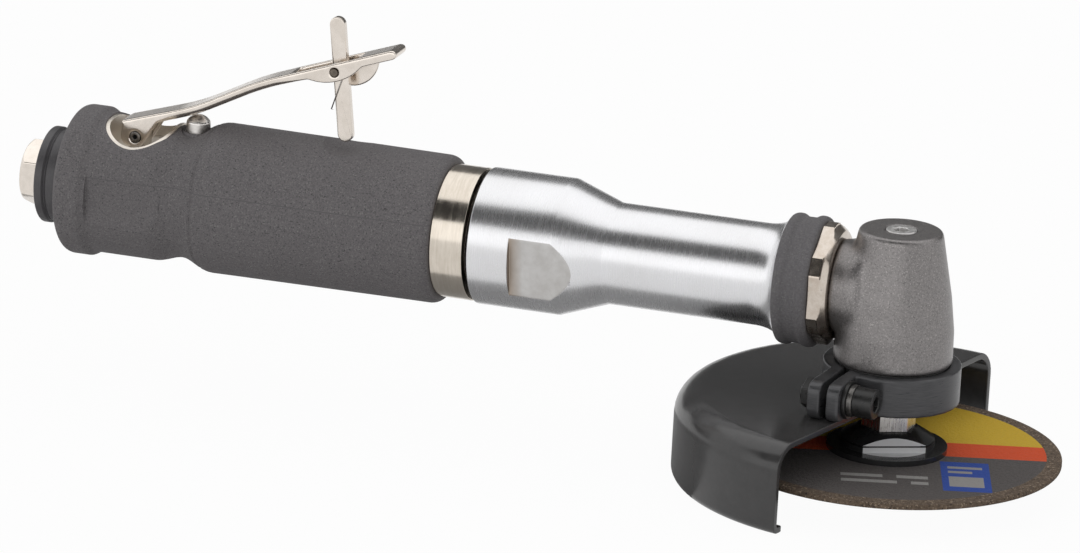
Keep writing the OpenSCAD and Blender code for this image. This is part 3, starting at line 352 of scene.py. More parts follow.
def zone(material, mask, colour, roughness):
    """Lays another finish over a material, where the mask is 1."""
    tree = material.node_tree
    shader = tree.nodes["Principled BSDF"]
    under = shader.inputs["Base Color"].links[0].from_socket
    tree.links.new(laid_over(tree, mask, under, rgba(colour)), shader.inputs["Base Color"])
    under = shader.inputs["Roughness"].links[0].from_socket
    gloss = add(tree, "ShaderNodeMix", {0: mask, 2: under, 3: roughness})
    tree.links.new(gloss.outputs[0], shader.inputs["Roughness"])


grip_compound = finish(
    "grip_compound", light=(0.176, 0.164, 0.168), dark=(0.102, 0.095, 0.098), roughness=0.7, spread=0.1,
    scale=1700, bump=0.45, depth=0.1, patch=0.2, patch_scale=45,
    flecks=((2500, 0.60, (0.215, 0.205, 0.203)), (2100, 0.62, (0.058, 0.055, 0.057))))
tree = grip_compound.node_tree
parting = within(tree, turned_place(tree), (PARTING_START, -OUTSIDE, PARTING_LOW),
                 (GRIP_END, OUTSIDE, PARTING_HIGH))
zone(grip_compound, parting, PARTING_COLOUR, PARTING_ROUGHNESS)
grip = broken_edges("grip_sleeve", "grip", grip_compound, GRIP_EDGE, GRIP_SHARP)
bm = bmesh.new()
bm.from_mesh(grip.data)
for side in (-1, 0, 1):
    bmesh.ops.bisect_plane(bm, geom=[*bm.verts, *bm.edges, *bm.faces], plane_no=(1, 0, 0),
                           plane_co=((CREASE_X + side * CREASE_HALF) * MM, 0, 0))
line = [v for v in bm.verts
        if abs(v.co.x - CREASE_X * MM) < WELD * MM and math.hypot(v.co.y, v.co.z) > BORE_REACH * MM]
bmesh.ops.scale(bm, vec=(1, 1 - CREASE_SHARE, 1 - CREASE_SHARE), verts=line)
small_faces(bm)
bm.to_mesh(grip.data)
bm.free()

# Exhaust collar: a black moulded ring behind the grip, with the muffler's felt behind it.
# The collar is turned smooth and pushed over the inlet bushing.
COLLAR_EDGE = 0.45
collar_plastic = finish("collar_plastic", light=(0.088, 0.084, 0.088), dark=(0.066, 0.063, 0.067),
                        roughness=0.42, spread=0.06, scale=700, stretch=(3, 1, 1), bump=0.1, depth=0.05)
felt = finish("muffler_felt", light=(0.30, 0.29, 0.27), dark=(0.16, 0.155, 0.15),
              roughness=0.95, spread=0.04, scale=1800, bump=0.7, depth=0.3)
broken_edges("exhaust_collar", "collar", collar_plastic, COLLAR_EDGE)
dress(felt, "muffler_felt")

# Inlet bushing: a nickel plated hex with a pipe thread, screwed into the housing's rear end.
# The thread is a ridge run along the bore, and a brass screen is pressed in behind it.
INLET_VOXEL, INLET_ROUNDS = 0.24, 3
SMOOTHING = 0.5
THREAD_START, THREAD_RADIUS, THREAD_DEPTH = 0.9, 5.88, 0.32
THREAD_PITCH, THREAD_WIDTH, THREAD_TURNS, THREAD_STEPS = 1.41, 0.95, 7.2, 32


def moulded(node, name, material, voxel, rounds, cast_blend=None, blend_rounds=0, shaped=None):
    """A node's solid with all its edges rounded alike, and rounded further where cast_blend says.

    Where shaped is given, it works on the solid first.
    """
    solid = merged_copy(node)
    if shaped:
        shaped(solid)
    piece = place(solid, name, material, node)
    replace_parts(piece, node)
    remesh = piece.modifiers.new("even_mesh", "REMESH")
    remesh.mode = "VOXEL"
    remesh.voxel_size = voxel * MM
    bpy.context.view_layer.update()
    bm = bmesh.new()
    bm.from_object(piece, bpy.context.evaluated_depsgraph_get())
    piece.modifiers.clear()
    chosen = [v for v in bm.verts if cast_blend and cast_blend(v.co / MM)]
    for verts, count in ((chosen, blend_rounds), (bm.verts, rounds)):
        for _ in range(count):
            bmesh.ops.smooth_vert(bm, verts=verts, factor=SMOOTHING,
                                  use_axis_x=True, use_axis_y=True, use_axis_z=True)
    bm.to_mesh(piece.data)
    bm.free()
    piece.data.shade_smooth()
    return piece


nickel = finish("nickel_plate", light=(0.84, 0.775, 0.71), dark=(0.76, 0.70, 0.635), metallic=1.0,
                roughness=0.2, spread=0.04, scale=420, bump=0.04, depth=0.04,
                patch=0.25, patch_scale=90, patch_colour=(0.50, 0.43, 0.36))
brass = finish("screen_brass", light=(0.62, 0.44, 0.18), dark=(0.44, 0.30, 0.12), metallic=1.0,
               roughness=0.4, spread=0.08, scale=900)
moulded("inlet_bushing", "inlet", nickel, INLET_VOXEL, INLET_ROUNDS)
dress(brass, "inlet_screen")

bm = bmesh.new()
profile = [bm.verts.new(Vector((THREAD_START + THREAD_PITCH * share, 0, THREAD_RADIUS - rise)) * MM)
           for share, rise in ((0, 0), (0.5, THREAD_DEPTH), (THREAD_WIDTH, 0))]
ridge = bm.faces.new(profile)
bmesh.ops.spin(bm, geom=[ridge, *ridge.edges, *ridge.verts], cent=(0, 0, 0), axis=(1, 0, 0),
               angle=math.tau * THREAD_TURNS, steps=int(THREAD_STEPS * THREAD_TURNS),
               dvec=(THREAD_PITCH * MM / THREAD_STEPS, 0, 0))
bmesh.ops.recalc_face_normals(bm, faces=bm.faces)
place(bm, "inlet_thread", nickel, "inlet_bushing")

# Throttle valve: a domed steel button in a bushing, on a stem that opens the poppet under its seat.
# A coil spring under the poppet closes it. Only the button shows, where it comes up through the grip.
BUTTON_EDGE, GUIDE_TOP, VALVE_TRAVEL = 0.3, 19.4, 2.21
black_oxide = finish("black_oxide", light=(0.034, 0.033, 0.032), dark=(0.020, 0.020, 0.020), metallic=0.35,
                     roughness=0.34, spread=0.08, scale=800)
turned_steel = finish("turned_steel", light=(0.82, 0.79, 0.76), dark=(0.68, 0.65, 0.62), metallic=1.0,
                      roughness=0.36, spread=0.05, scale=700, stretch=(1, 1, 5))
seal_rubber = finish("seal_rubber", light=(0.03, 0.03, 0.032), dark=(0.02, 0.02, 0.021),
                     roughness=0.7, spread=0.06, scale=900)
broken_edges("valve_pin", "button", turned_steel, BUTTON_EDGE)
bm = merged_copy("valve_bushing")
bmesh.ops.bisect_plane(bm, geom=[*bm.verts, *bm.edges, *bm.faces], plane_co=(0, 0, GUIDE_TOP * MM),
                       plane_no=(0, 0, 1), clear_outer=True)
bmesh.ops.bridge_loops(bm, edges=[e for e in bm.edges if e.is_boundary])
bmesh.ops.recalc_face_normals(bm, faces=bm.faces)
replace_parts(place(bm, "valve_guide", grip_compound, "valve_bushing"), "valve_bushing")
dress(brass, "valve_seat")
dress(seal_rubber, "valve_o_ring", "valve_poppet")
coil = place(merged_copy("valve_spring"), "valve_coil", ground_steel, "valve_spring")
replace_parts(coil, "valve_spring")
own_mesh(coil)

# Throttle lever: a nickel plated steel strip, bent twice in the press with its lower edges rolled under,
# and folded down into ears for its roll pin and for the latch. The pin is a hollow dark steel roll pin.
LEVER_VOXEL, LEVER_ROUNDS = 0.21, 22
STRIP_START, STRIP_END = 43.0, 85.0
LEVER_BEND, BEND_STEPS, BEND_ANGLE = 5.0, 6, 5.0
LEVER_CURL, CURL_STEPS = 2.2, 5
EDGE_ON, SIDE_ON, UNDER = 0.1, 0.9, -0.8
PIN_EDGE = 0.2
roll_steel = finish("roll_pin_steel", light=(0.30, 0.28, 0.26), dark=(0.16, 0.15, 0.14), metallic=1.0,
                    roughness=0.34, spread=0.08, scale=900)


def is_bend(edge):
    """An edge across the strip, where it was bent."""
    across = all(abs(f.normal.y) < EDGE_ON for f in edge.link_faces)
    return across and edge.calc_face_angle(0.0) > math.radians(BEND_ANGLE)


def is_lower(edge):
    """An edge between the strip's side and its underside."""
    beside = any(abs(f.normal.y) > SIDE_ON for f in edge.link_faces)
    return beside and any(f.normal.z < UNDER for f in edge.link_faces)


def pressed_strip(bm):
    """Eases the strip's bends and rolls its lower edges under, between the two pairs of ears."""
    flat_faces(bm)
    for size, steps, wanted in ((LEVER_BEND, BEND_STEPS, is_bend), (LEVER_CURL, CURL_STEPS, is_lower)):
        bm.normal_update()
        between = [e for e in bm.edges if len(e.link_faces) == 2
                   and STRIP_START < (e.verts[0].co.x + e.verts[1].co.x) / 2 / MM < STRIP_END]
        rounded(bm, [e for e in between if wanted(e)], size, steps)


moulded("throttle_lever", "lever", nickel, LEVER_VOXEL, LEVER_ROUNDS, shaped=pressed_strip)
broken_edges("lever_pin", "lever_roll_pin", roll_steel, PIN_EDGE)

# Lock-off latch: a nickel plated flat bar with round ends on a riveted pin, held upright by a torsion
# spring. The spring is one length of wire: a coil on the pin, a leg along the lever and a leg across
# the bar, with a small hook at its end.
LATCH_EDGE, RIVET_EDGE = 0.3, 0.2
COIL_PIVOT = Vector((95.758, 0, 44.098))
COIL_RADIUS, COIL_SWEEP, COIL_STEPS = 2.1, 487.0, 64
COIL_NEAR, COIL_FAR = -2.695, -1.41
WIRE_RADIUS, WIRE_SIDES = 0.2, 10
LATCH_LEG, LATCH_LEG_TURN = 12.0, 253.0
LEVER_LEG, LEVER_LEG_TURN = 5.0, 200.0
HOOK, HOOK_WAY = 1.5, Vector((0, 0.95, -0.3))
spring_wire = finish("spring_wire", light=(0.58, 0.56, 0.53), dark=(0.42, 0.40, 0.38), metallic=1.0,
                     roughness=0.28, spread=0.05, scale=900)
rivet_steel = finish("rivet_steel", light=(0.20, 0.17, 0.14), dark=(0.10, 0.085, 0.07), metallic=1.0,
                     roughness=0.4, spread=0.08, scale=900)
broken_edges("lock_latch", "latch", nickel, LATCH_EDGE)
broken_edges("latch_pin", "latch_rivet", rivet_steel, RIVET_EDGE)


def leg_way(turn):
    """The way that a leg points, for its turn about the pin in degrees."""
    return Vector((math.cos(math.radians(turn)), 0, math.sin(math.radians(turn))))


def drawn_on(bm, face, step):
    """Pulls the end face of a wire on by a step, and gives the new end face."""
    moved = bmesh.ops.extrude_face_region(bm, geom=[face])["geom"]
    ends = [f for f in moved if isinstance(f, bmesh.types.BMFace)]
    bmesh.ops.translate(bm, vec=step * MM, verts=ends[0].verts)
    bm.faces.remove(face)
    return ends[0]


down_leg = leg_way(LATCH_LEG_TURN)
coil_end = COIL_PIVOT + COIL_RADIUS * Vector((-down_leg.z, 0, down_leg.x)) + Vector((0, COIL_FAR, 0))
upright = down_leg.to_track_quat("Z", "Y").to_matrix().to_4x4()
bm = bmesh.new()
bmesh.ops.create_circle(bm, cap_ends=True, segments=WIRE_SIDES, radius=WIRE_RADIUS * MM,
                        matrix=Matrix.Translation(coil_end * MM) @ upright)
first = list(bm.faces)[0]
wound = bmesh.ops.spin(bm, geom=[first], cent=COIL_PIVOT * MM, axis=(0, 1, 0), steps=COIL_STEPS,
                       angle=-math.radians(COIL_SWEEP),
                       dvec=(0, (COIL_NEAR - COIL_FAR) * MM / COIL_STEPS, 0))
last = [f for f in wound["geom_last"] if isinstance(f, bmesh.types.BMFace)][0]
drawn_on(bm, last, LEVER_LEG * leg_way(LEVER_LEG_TURN))
drawn_on(bm, drawn_on(bm, first, LATCH_LEG * down_leg), HOOK * HOOK_WAY)
bmesh.ops.recalc_face_normals(bm, faces=bm.faces)
wire = place(bm, "latch_wire", spring_wire, "latch_spring", rides=False)
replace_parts(wire, "latch_spring")
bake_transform(wire)

# Lock ring: a plain nickel plated ring that closes the front of the grip.
# Turned, with a fine line finish round it.
RING_EDGE = 0.4
ring_plate = finish("ring_plate", light=(0.72, 0.66, 0.58), dark=(0.62, 0.56, 0.485), metallic=1.0,
                    roughness=0.17, spread=0.04, scale=300, stretch=(4, 0.5, 0.5), bump=0.04, depth=0.04,
                    patch=0.3, patch_scale=80, patch_colour=(0.46, 0.39, 0.32))
broken_edges("lock_ring", "front_ring", ring_plate, RING_EDGE)

# Extension housing: a steel tube turned bright between the motor and the head, with two wrench flats.
# Its turning marks run round it, and the flats are milled matt, with a brown painted shade at their rear end
# by the step's wall. The spigot in the groove at the lock ring is painted near black, as painted shade in
# that gap.
EXTENSION_EDGE, EXTENSION_SHARP = 0.4, 14.0
FLATS_TURN, FLATS_START, FLATS_END = 10.0, 155.9, 184.0
FLATS_REACH, FLATS_OUTER, FLATS_HALF = 17.85, 19.5, 12.0
FLATS_COLOUR, FLATS_ROUGHNESS = (0.60, 0.59, 0.58), 0.5
SMEAR_SCALE, SMEAR_COLOUR = 220, (0.50, 0.485, 0.47)
STEP_SHADE_END, STEP_SHADE_SHARE, STEP_SHADE_COLOUR = 160.0, 0.9, (0.36, 0.29, 0.23)
GAP_SHADE_START, GAP_SHADE_END, GAP_SHADE_COLOUR, GAP_SHADE_ROUGHNESS = 141.0, 143.55, (0.05, 0.045, 0.04), 0.5
FOLD = -1.0
extension_steel = finish("extension_steel", light=(0.75, 0.75, 0.765), dark=(0.73, 0.73, 0.745), metallic=1.0,
                         roughness=0.27, spread=0.014, scale=160, stretch=(8, 0.5, 0.5), bump=0.006,
                         depth=0.03, patch=0.25, patch_scale=55, patch_colour=(0.58, 0.57, 0.565))
tree = extension_steel.node_tree
folded = turned_place(tree, turn=(FLATS_TURN, 0, 0), mirrored=True)
flats = within(tree, folded, (FLATS_START, FLATS_REACH, FOLD), (FLATS_END, FLATS_OUTER, FLATS_HALF))
zone(extension_steel, flats, FLATS_COLOUR, FLATS_ROUGHNESS)
smear = grain_on(tree, SMEAR_SCALE)
along = add(tree, "ShaderNodeSeparateXYZ", {0: folded})
fade = add(tree, "ShaderNodeMapRange", {
    "Value": along.outputs["X"], "From Min": FLATS_START * MM, "From Max": STEP_SHADE_END * MM,
    "To Min": STEP_SHADE_SHARE, "To Max": 0.0,
})
# The flats get a mottled smear, and a brown painted shade that fades forward from the step at their rear end.
for share, tint in ((smear.outputs["Mask"], SMEAR_COLOUR), (fade.outputs["Result"], STEP_SHADE_COLOUR)):
    zone(extension_steel, combined(tree, "MULTIPLY", flats, share), tint, FLATS_ROUGHNESS)
# Painted shade: the spigot in the gap in front of the lock ring is painted near black.
gap_shade = within(tree, folded, (GAP_SHADE_START, FOLD, FOLD), (GAP_SHADE_END, OUTSIDE, OUTSIDE))
zone(extension_steel, gap_shade, GAP_SHADE_COLOUR, GAP_SHADE_ROUGHNESS)
broken_edges("extension_housing", "extension", extension_steel, EXTENSION_EDGE, EXTENSION_SHARP)

# Drive train: a ground steel shaft from the motor to the head, in two ball bearings, with a bevel pinion
# on its front end. It runs inside the extension and the head's neck, and none of it shows.
dress(ground_steel, "drive_shaft", "drive_bearings", "bevel_pinion")

# Rubber ring: a dark grey rubber band with a bead at each edge, stretched over the extension's front end.
# Cast and unfinished, so it is matt and a little uneven.
BAND_EDGE, BAND_SHARP = 0.5, 24.0
band_rubber = finish("band_rubber", light=(0.176, 0.167, 0.174), dark=(0.110, 0.105, 0.109),
                     roughness=0.82, spread=0.08, scale=1500, bump=0.5, depth=0.15, patch=0.3,
                     patch_scale=160, flecks=((2200, 0.61, (0.19, 0.186, 0.183)),))
broken_edges("rubber_ring", "rubber_band", band_rubber, BAND_EDGE, BAND_SHARP)

# Head lock nut: a nickel plated nut with trimmed corners that locks the head to the extension.
# Handling and cutting fluid have stained its lower corners brown.
NUT_EDGE, NUT_SHARP = 0.35, 12.0
NUT_START, NUT_END, BLOTCH_TOP = 200.0, 300.0, -9.0
BLOTCH_SCALE, BLOTCH_COLOUR, BLOTCH_ROUGHNESS = 260, (0.13, 0.085, 0.055), 0.4
nut_plate = finish("nut_plate", light=(0.66, 0.60, 0.54), dark=(0.56, 0.50, 0.44), metallic=1.0,
                   roughness=0.18, spread=0.05, scale=420, bump=0.06, depth=0.05,
                   patch=0.4, patch_scale=150, patch_colour=(0.40, 0.31, 0.23))
tree = nut_plate.node_tree
low_side = within(tree, turned_place(tree), (NUT_START, -OUTSIDE, -OUTSIDE), (NUT_END, OUTSIDE, BLOTCH_TOP))
blotch = combined(tree, "MULTIPLY", low_side, grain_on(tree, BLOTCH_SCALE).outputs["Mask"])
zone(nut_plate, blotch, BLOTCH_COLOUR, BLOTCH_ROUGHNESS)
broken_edges("head_lock_nut", "head_nut", nut_plate, NUT_EDGE, NUT_SHARP)

# Angle head: a steel casting with a shot blasted, dark grey finish, its neck blended into the tapered body.
# A grease plug with a hex socket closes its top, and a retainer holds the bearing from below.
HEAD_VOXEL, HEAD_ROUNDS, NECK_ROUNDS = 0.42, 6, 60
NECK_START, NECK_END, NECK_SIDE, NECK_HALF = 251.5, 263.0, 5.0, 17.0
PLUG_EDGE, RETAINER_EDGE = 0.25, 0.3
blasted_steel = finish(
    "blasted_steel", light=(0.285, 0.270, 0.266), dark=(0.185, 0.175, 0.173), metallic=0.75, roughness=0.36,
    spread=0.06, scale=1700, bump=0.4, depth=0.08, patch=0.2, patch_scale=60,
    flecks=((2500, 0.61, (0.36, 0.34, 0.33)), (2200, 0.64, (0.125, 0.119, 0.117))))
plug_steel = finish("plug_steel", light=(0.74, 0.73, 0.72), dark=(0.54, 0.53, 0.52), metallic=1.0,
                    roughness=0.45, spread=0.06, scale=900)


def neck_root(point):
    """Where the neck runs out into the body, on both sides."""
    return NECK_START < point.x < NECK_END and NECK_SIDE < abs(point.y) and abs(point.z) < NECK_HALF


moulded("angle_head", "head", blasted_steel, HEAD_VOXEL, HEAD_ROUNDS, neck_root, NECK_ROUNDS)
broken_edges("grease_plug", "plug", plug_steel, PLUG_EDGE)
broken_edges("bearing_retainer", "retainer", black_oxide, RETAINER_EDGE)

# Spindle: ground steel in two bearings, with a bevel gear and a bright hex under the head for a wrench.
# The upper flange is black with bright wrench flats, each crossed by a painted dark line as the shade
# between its tiers; the lower one is plain, and a screw clamps the wheel between them.
SPINDLE_EDGE, LOWER_FLANGE_EDGE, FLANGE_SCREW_EDGE = 0.25, 0.3, 0.3
UPPER_FLANGE_EDGE, UPPER_FLANGE_SHARP = 0.08, 40.0
WHEEL_X, FLAT_TURN, LEDGE_RADIUS = 267.5, 26.8, 13.6
FLAT_REACH, FLAT_OUTER, FLAT_TOP, FLAT_FOOT = 9.93, 20.0, 38.0, 45.3
FLAT_COLOUR, FLAT_ROUGHNESS = (0.72, 0.72, 0.73), 0.42
GROOVE_TOP, GROOVE_FOOT, GROOVE_SHADE_COLOUR, GROOVE_SHADE_ROUGHNESS = 43.1, 43.6, (0.04, 0.04, 0.04), 0.3
hex_steel = finish("hex_steel", light=(0.92, 0.89, 0.86), dark=(0.76, 0.73, 0.70), metallic=1.0,
                   roughness=0.3, spread=0.07, scale=700, stretch=(4, 4, 0.3), bump=0.15, depth=0.06)
dress(ground_steel, "bevel_gear", "upper_spindle_bearing", "lower_spindle_bearing")
broken_edges("spindle", "spindle_hex", hex_steel, SPINDLE_EDGE)
broken_edges("lower_flange", "wheel_nut_flange", black_oxide, LOWER_FLANGE_EDGE)
broken_edges("flange_screw", "wheel_screw", black_oxide, FLANGE_SCREW_EDGE)


def flattened(tree, where):
    """A place pressed flat onto the wheel's plane, and its distance from the wheel's axis."""
    flat = add(tree, "ShaderNodeVectorMath", {0: where, 1: (1, 1, 0)}, operation="MULTIPLY").outputs[0]
    return flat, add(tree, "ShaderNodeVectorMath", {0: flat}, operation="LENGTH").outputs["Value"]


flange_black = finish("flange_black", light=(0.026, 0.026, 0.027), dark=(0.020, 0.020, 0.021),
                      roughness=0.22, spread=0.04, scale=300, bump=0.03)
tree = flange_black.node_tree
folded = turned_place(tree, (WHEEL_X, 0, 0), (0, 0, FLAT_TURN), mirrored=True)
near = combined(tree, "LESS_THAN", flattened(tree, folded)[1], LEDGE_RADIUS * MM)
milled = within(tree, folded, (FOLD, FLAT_REACH, FLAT_TOP), (FLAT_OUTER, FLAT_OUTER, FLAT_FOOT))
zone(flange_black, combined(tree, "MULTIPLY", milled, near), FLAT_COLOUR, FLAT_ROUGHNESS)
# Painted shade: a dark line across each flat, where the groove between the tiers would shade it.
groove = within(tree, folded, (FOLD, FLAT_REACH, GROOVE_TOP), (FLAT_OUTER, FLAT_OUTER, GROOVE_FOOT))
zone(flange_black, groove, GROOVE_SHADE_COLOUR, GROOVE_SHADE_ROUGHNESS)
broken_edges("upper_flange", "wheel_flange", flange_black, UPPER_FLANGE_EDGE, UPPER_FLANGE_SHARP)

# Cut-off wheel: brown abrasive grit bonded on glass cloth, with a printed paper label on its upper side.
# The label is a plain colour layout: a yellow half, an orange band, grey with pale bars and a blue panel.
WHEEL_EDGE, WHEEL_TOP = 0.3, -47.2
LABEL_TURN, LABEL_RADIUS, LABEL_END, LABEL_HALF = 16.8, 46.3, 60.0, 1.0
INK_SCALE, INK_WEAR = 1300, 0.1
GREY_DARK, GREY_LIGHT, PALE = (0.078, 0.071, 0.070), (0.118, 0.108, 0.105), (0.34, 0.33, 0.32)
BLUE, YELLOW, ORANGE = (0.022, 0.075, 0.38), (0.70, 0.46, 0.03), (0.76, 0.09, 0.02)
ORANGE_LOW, ORANGE_HIGH = -5.0, 7.5
BLOCKS = (
    (YELLOW, (-LABEL_END, ORANGE_HIGH), (LABEL_END, LABEL_END)),
    (ORANGE, (-LABEL_END, ORANGE_LOW), (LABEL_END, ORANGE_HIGH)),
    (BLUE, (15, -36), (29, -10)),
    (PALE, (-14, -27), (-2, -24.5)),
    (PALE, (-14, -32), (2, -29.5)),
    (PALE, (2, -27), (11, -24.5)),
    (PALE, (6, -32), (11, -29.5)),
    (PALE, (17, -16), (27, -14)),
    (PALE, (17, -20), (24, -18)),
    (PALE, (17, -32), (27, -23)),
)
abrasive = finish("abrasive_grit", light=(0.20, 0.145, 0.10), dark=(0.075, 0.052, 0.037), roughness=0.9,
                  spread=0.05, scale=1100, bump=0.9, depth=0.5, patch=0.2,
                  flecks=((1500, 0.61, (0.34, 0.26, 0.19)), (1300, 0.63, (0.025, 0.018, 0.014))))
tree = abrasive.node_tree
flat, radius = flattened(tree, turned_place(tree, (WHEEL_X, 0, 0), (0, 0, LABEL_TURN)))
ink = grain_on(tree, INK_SCALE).outputs["Mask"]
label = laid_over(tree, ink, rgba(GREY_DARK), rgba(GREY_LIGHT))
for colour, low, high in BLOCKS:
    printed = within(tree, flat, (*low, -LABEL_HALF), (*high, LABEL_HALF))
    label = laid_over(tree, printed, label, rgba(colour))
height = add(tree, "ShaderNodeSeparateXYZ", {0: add(tree, "ShaderNodeTexCoord").outputs["Object"]})
inside = combined(tree, "LESS_THAN", radius, LABEL_RADIUS * MM)
above = combined(tree, "GREATER_THAN", height.outputs["Z"], WHEEL_TOP * MM)
kept = combined(tree, "SUBTRACT", 1.0, combined(tree, "MULTIPLY", ink, INK_WEAR))
paper = combined(tree, "MULTIPLY", combined(tree, "MULTIPLY", inside, above), kept)
base = tree.nodes["Principled BSDF"].inputs["Base Color"]
tree.links.new(laid_over(tree, paper, base.links[0].from_socket, label), base)
broken_edges("cut_off_wheel", "wheel", abrasive, WHEEL_EDGE)

# Wheel guard: a half round hood of 2 mm steel sheet, drawn with a soft shoulder and a lip at its foot.
# It is painted black, and the paint is thin and a little glossy on the bend.
GUARD_EDGE, GUARD_SHARP = 0.35, 40.0
guard_paint = finish("guard_paint", light=(0.050, 0.048, 0.048), dark=(0.040, 0.039, 0.039), roughness=0.21,
                     spread=0.03, scale=260, bump=0.008, depth=0.1, patch=0.25, patch_scale=40)
broken_edges("guard_shell", "guard", guard_paint, GUARD_EDGE, GUARD_SHARP)

# Guard clamp: a black steel band round the retainer, its two round-cornered ears drawn together by a
# socket screw. The screw carries a split washer and a plain washer, and a nut behind.
BAND_VOXEL, BAND_ROUNDS = 0.3, 5
EAR_ROUND, EAR_STEPS, EAR_END = 3.4, 6, -31.0
CLAMP_SCREW_EDGE, WASHER_EDGE, CLAMP_NUT_EDGE = 0.3, 0.25, 0.3
band_black = finish("band_black", light=(0.098, 0.098, 0.102), dark=(0.052, 0.052, 0.055), metallic=0.35,
                    roughness=0.36, spread=0.09, scale=420, stretch=(0.6, 0.6, 9), bump=0.12, depth=0.06)
washer_steel = finish("washer_steel", light=(0.20, 0.19, 0.18), dark=(0.09, 0.088, 0.085), metallic=0.8,
                      roughness=0.32, spread=0.08, scale=900)


def is_ear_corner(edge):
    """An edge between an ear's end and its top or underside."""
    level = any(abs(f.normal.z) > SIDE_ON for f in edge.link_faces)
    return level and any(f.normal.y < -SIDE_ON for f in edge.link_faces)


def rounded_ears(bm):
    """Rounds the upper and lower corners of the ears' free ends."""
    flat_faces(bm)
    bm.normal_update()
    ends = [e for e in bm.edges if len(e.link_faces) == 2 and all(v.co.y < EAR_END * MM for v in e.verts)]
    rounded(bm, [e for e in ends if is_ear_corner(e)], EAR_ROUND, EAR_STEPS)


moulded("clamp_band", "guard_clamp", band_black, BAND_VOXEL, BAND_ROUNDS, shaped=rounded_ears)
broken_edges("clamp_screw", "clamp_bolt", black_oxide, CLAMP_SCREW_EDGE)
broken_edges("clamp_lock_washer", "split_washer", washer_steel, WASHER_EDGE)
broken_edges("clamp_washer", "plain_washer", black_oxide, WASHER_EDGE)
broken_edges("clamp_nut", "clamp_hex", black_oxide, CLAMP_NUT_EDGE)

# Studio: a white floor that keeps the tool's shadow, one large light overhead and one in front, and three
# grey cards that only reflections see, so that bright metal shows its form: two hang over the tool, and
# one lies under it as a painted shadow of the tool on the floor, for the reflections.
WHITE = (1, 1, 1)
FLOOR_REACH, FLOOR_GREY, FLOOR_SEEN, FLOOR_MIRRORED = 14.0, (0.8, 0.8, 0.8), 0.96, 0.8
ROOM_LEVEL = 0.5
MIDDLE = Vector((150, 0, 0)) * MM
CARD_DARK, HUNG_CARD_WIDTH = 0.8, 3.0
FLOOR_SHADOW_CARD_SHADE, FLOOR_SHADOW_CARD_X, FLOOR_SHADOW_CARD_LIFT = 0.6, 140.0, 0.5
FLOOR_SHADOW_CARD_WIDTH, FLOOR_SHADOW_CARD_DEPTH = 0.42, 0.08
floor_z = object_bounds()[0].z


def background_share(tree, straight=1.0, mirrored=1.0):
    """How much of the plain white a ray sees: straight from the camera, or by way of metal or glass."""
    path = add(tree, "ShaderNodeLightPath")
    seen = combined(tree, "MULTIPLY", path.outputs["Is Camera Ray"], straight)
    for ray in ("Is Glossy Ray", "Is Transmission Ray"):
        seen = combined(tree, "MAXIMUM", seen, combined(tree, "MULTIPLY", path.outputs[ray], mirrored))
    return seen


def shaders_mixed(tree, share, one, other):
    return add(tree, "ShaderNodeMixShader", {0: share, 1: one.outputs[0], 2: other.outputs[0]})


def set_up(name, bm, material):
    """A flat sheet of the studio, which is no part of the tool."""
    mesh = bpy.data.meshes.new(name)
    bm.to_mesh(mesh)
    bm.free()
    mesh.materials.append(material)
    sheet = bpy.data.objects.new(name, mesh)
    bpy.context.scene.collection.objects.link(sheet)
    return sheet


floor_paint = bpy.data.materials.new("white_floor")
floor_paint.use_nodes = True
tree = floor_paint.node_tree
tree.nodes.clear()
matt = add(tree, "ShaderNodeBsdfDiffuse", {"Color": rgba(FLOOR_GREY)})
glow = add(tree, "ShaderNodeEmission", {"Color": rgba(WHITE), "Strength": 1.0})
lit = shaders_mixed(tree, background_share(tree, FLOOR_SEEN, FLOOR_MIRRORED), matt, glow)
clear = add(tree, "ShaderNodeBsdfTransparent")
from_below = add(tree, "ShaderNodeNewGeometry").outputs["Backfacing"]
add(tree, "ShaderNodeOutputMaterial", {"Surface": shaders_mixed(tree, from_below, lit, clear).outputs[0]})
bm = bmesh.new()
bmesh.ops.create_grid(bm, x_segments=1, y_segments=1, size=FLOOR_REACH)
bmesh.ops.translate(bm, verts=bm.verts, vec=(0, 0, floor_z))
set_up("floor", bm, floor_paint)

world = bpy.data.worlds.new("studio")
bpy.context.scene.world = world
world.use_nodes = True
tree = world.node_tree
tree.nodes.clear()
room = add(tree, "ShaderNodeBackground", {"Color": rgba(WHITE), "Strength": ROOM_LEVEL})
white = add(tree, "ShaderNodeBackground", {"Color": rgba(WHITE), "Strength": 1.0})
mixed = shaders_mixed(tree, background_share(tree), room, white)
add(tree, "ShaderNodeOutputWorld", {"Surface": mixed.outputs[0]})


def toward(azimuth, elevation, distance):
    """A place at a distance from the middle of the tool, by angles in degrees."""
    a, e = math.radians(azimuth), math.radians(elevation)
    return MIDDLE + Vector((math.sin(a) * math.cos(e), -math.cos(a) * math.cos(e), math.sin(e))) * distance


def light(name, azimuth, elevation, distance, width, depth, power):
    """A large soft light that faces the tool."""
    data = bpy.data.lights.new(name, "AREA")
    data.shape = "RECTANGLE"
    data.size = width
    data.size_y = depth
    data.energy = power
    lamp = bpy.data.objects.new(name, data)
    lamp.location = toward(azimuth, elevation, distance)
    lamp.rotation_mode = "QUATERNION"
    lamp.rotation_quaternion = (lamp.location - MIDDLE).to_track_quat("Z", "Y")
    lamp.visible_camera = False
    bpy.context.scene.collection.objects.link(lamp)


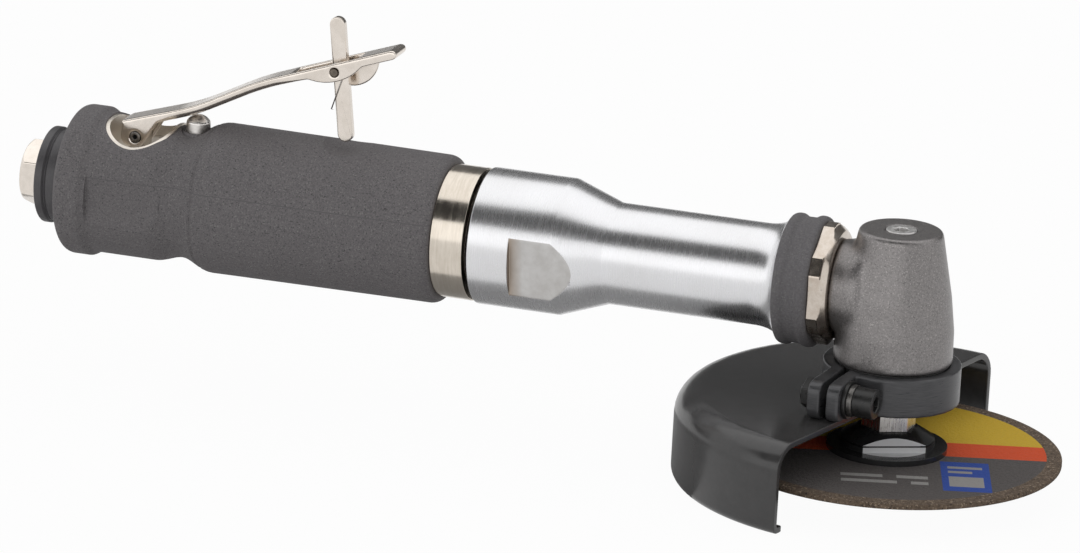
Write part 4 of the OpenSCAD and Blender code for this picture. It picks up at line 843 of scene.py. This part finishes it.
def card(name, shade, centre, facing, width, depth):
    """A flat grey card that only reflections see."""
    turn = facing.to_track_quat("Z", "Y").to_matrix().to_4x4()
    bm = bmesh.new()
    bmesh.ops.create_grid(bm, x_segments=1, y_segments=1, size=0.5)
    bmesh.ops.scale(bm, vec=(width, depth, 1), verts=bm.verts)
    bmesh.ops.transform(bm, matrix=Matrix.Translation(centre) @ turn, verts=bm.verts)
    paint = finish(name + "_paint", light=(shade,) * 3, dark=(shade * CARD_DARK,) * 3, roughness=0.9,
                   spread=0.05, scale=10)
    made = set_up(name, bm, paint)
    made.visible_camera = False
    made.visible_diffuse = False
    made.visible_shadow = False


def hung_card(name, shade, elevation, distance, depth):
    """A card over the tool, facing away from its middle."""
    facing = toward(0, elevation, 1) - MIDDLE
    card(name, shade, toward(0, elevation, distance), facing, HUNG_CARD_WIDTH, depth)


light("overhead", azimuth=0, elevation=92, distance=1.3, width=3.4, depth=2.4, power=8.2)
light("front", azimuth=-18, elevation=12, distance=1.7, width=3.4, depth=1.6, power=7.2)
hung_card("front_card", shade=0.06, elevation=50, distance=1.2, depth=0.8)
hung_card("back_card", shade=0.25, elevation=158, distance=1.3, depth=0.95)
# Painted shadow: a grey card under the tool, seen only in reflections, stands in for the tool's shadow on the
# floor.
floor_shadow_place = Vector((FLOOR_SHADOW_CARD_X * MM, 0, floor_z + FLOOR_SHADOW_CARD_LIFT * MM))
card("floor_shadow_card", FLOOR_SHADOW_CARD_SHADE, floor_shadow_place, Vector((0, 0, 1)), FLOOR_SHADOW_CARD_WIDTH, FLOOR_SHADOW_CARD_DEPTH)

# Camera: a long lens from in front of the tool and above, rolled a little.
# Its place, angles and lens were fitted to the outline of the wheel, the grip and the inlet.
CAMERA_PLACE = (0.72325, -1.86039, 0.58461)
CAMERA_AZIMUTH, CAMERA_ELEVATION, CAMERA_ROLL = 16.838, 17.018, 3.045
CAMERA_SENSOR, CAMERA_LENS = 36.0, 232.17
CAMERA_NEAR, CAMERA_FAR = 0.05, 60.0
azimuth, elevation, roll = (math.radians(turn) for turn in (CAMERA_AZIMUTH, CAMERA_ELEVATION, CAMERA_ROLL))
back = Vector((math.sin(azimuth) * math.cos(elevation), -math.cos(azimuth) * math.cos(elevation),
               math.sin(elevation)))
level = Vector((math.cos(azimuth), math.sin(azimuth), 0))
rise = back.cross(level)
right = level * math.cos(roll) + rise * math.sin(roll)
up = rise * math.cos(roll) - level * math.sin(roll)
lens = bpy.data.cameras.new("camera")
lens.sensor_width = CAMERA_SENSOR
lens.lens = CAMERA_LENS
lens.clip_start = CAMERA_NEAR
lens.clip_end = CAMERA_FAR
camera = bpy.data.objects.new("camera", lens)
camera.matrix_world = Matrix.Translation(CAMERA_PLACE) @ Matrix((right, up, back)).transposed().to_4x4()
bpy.context.scene.collection.objects.link(camera)
bpy.context.scene.camera = camera
bpy.context.scene.view_settings.view_transform = "Standard"
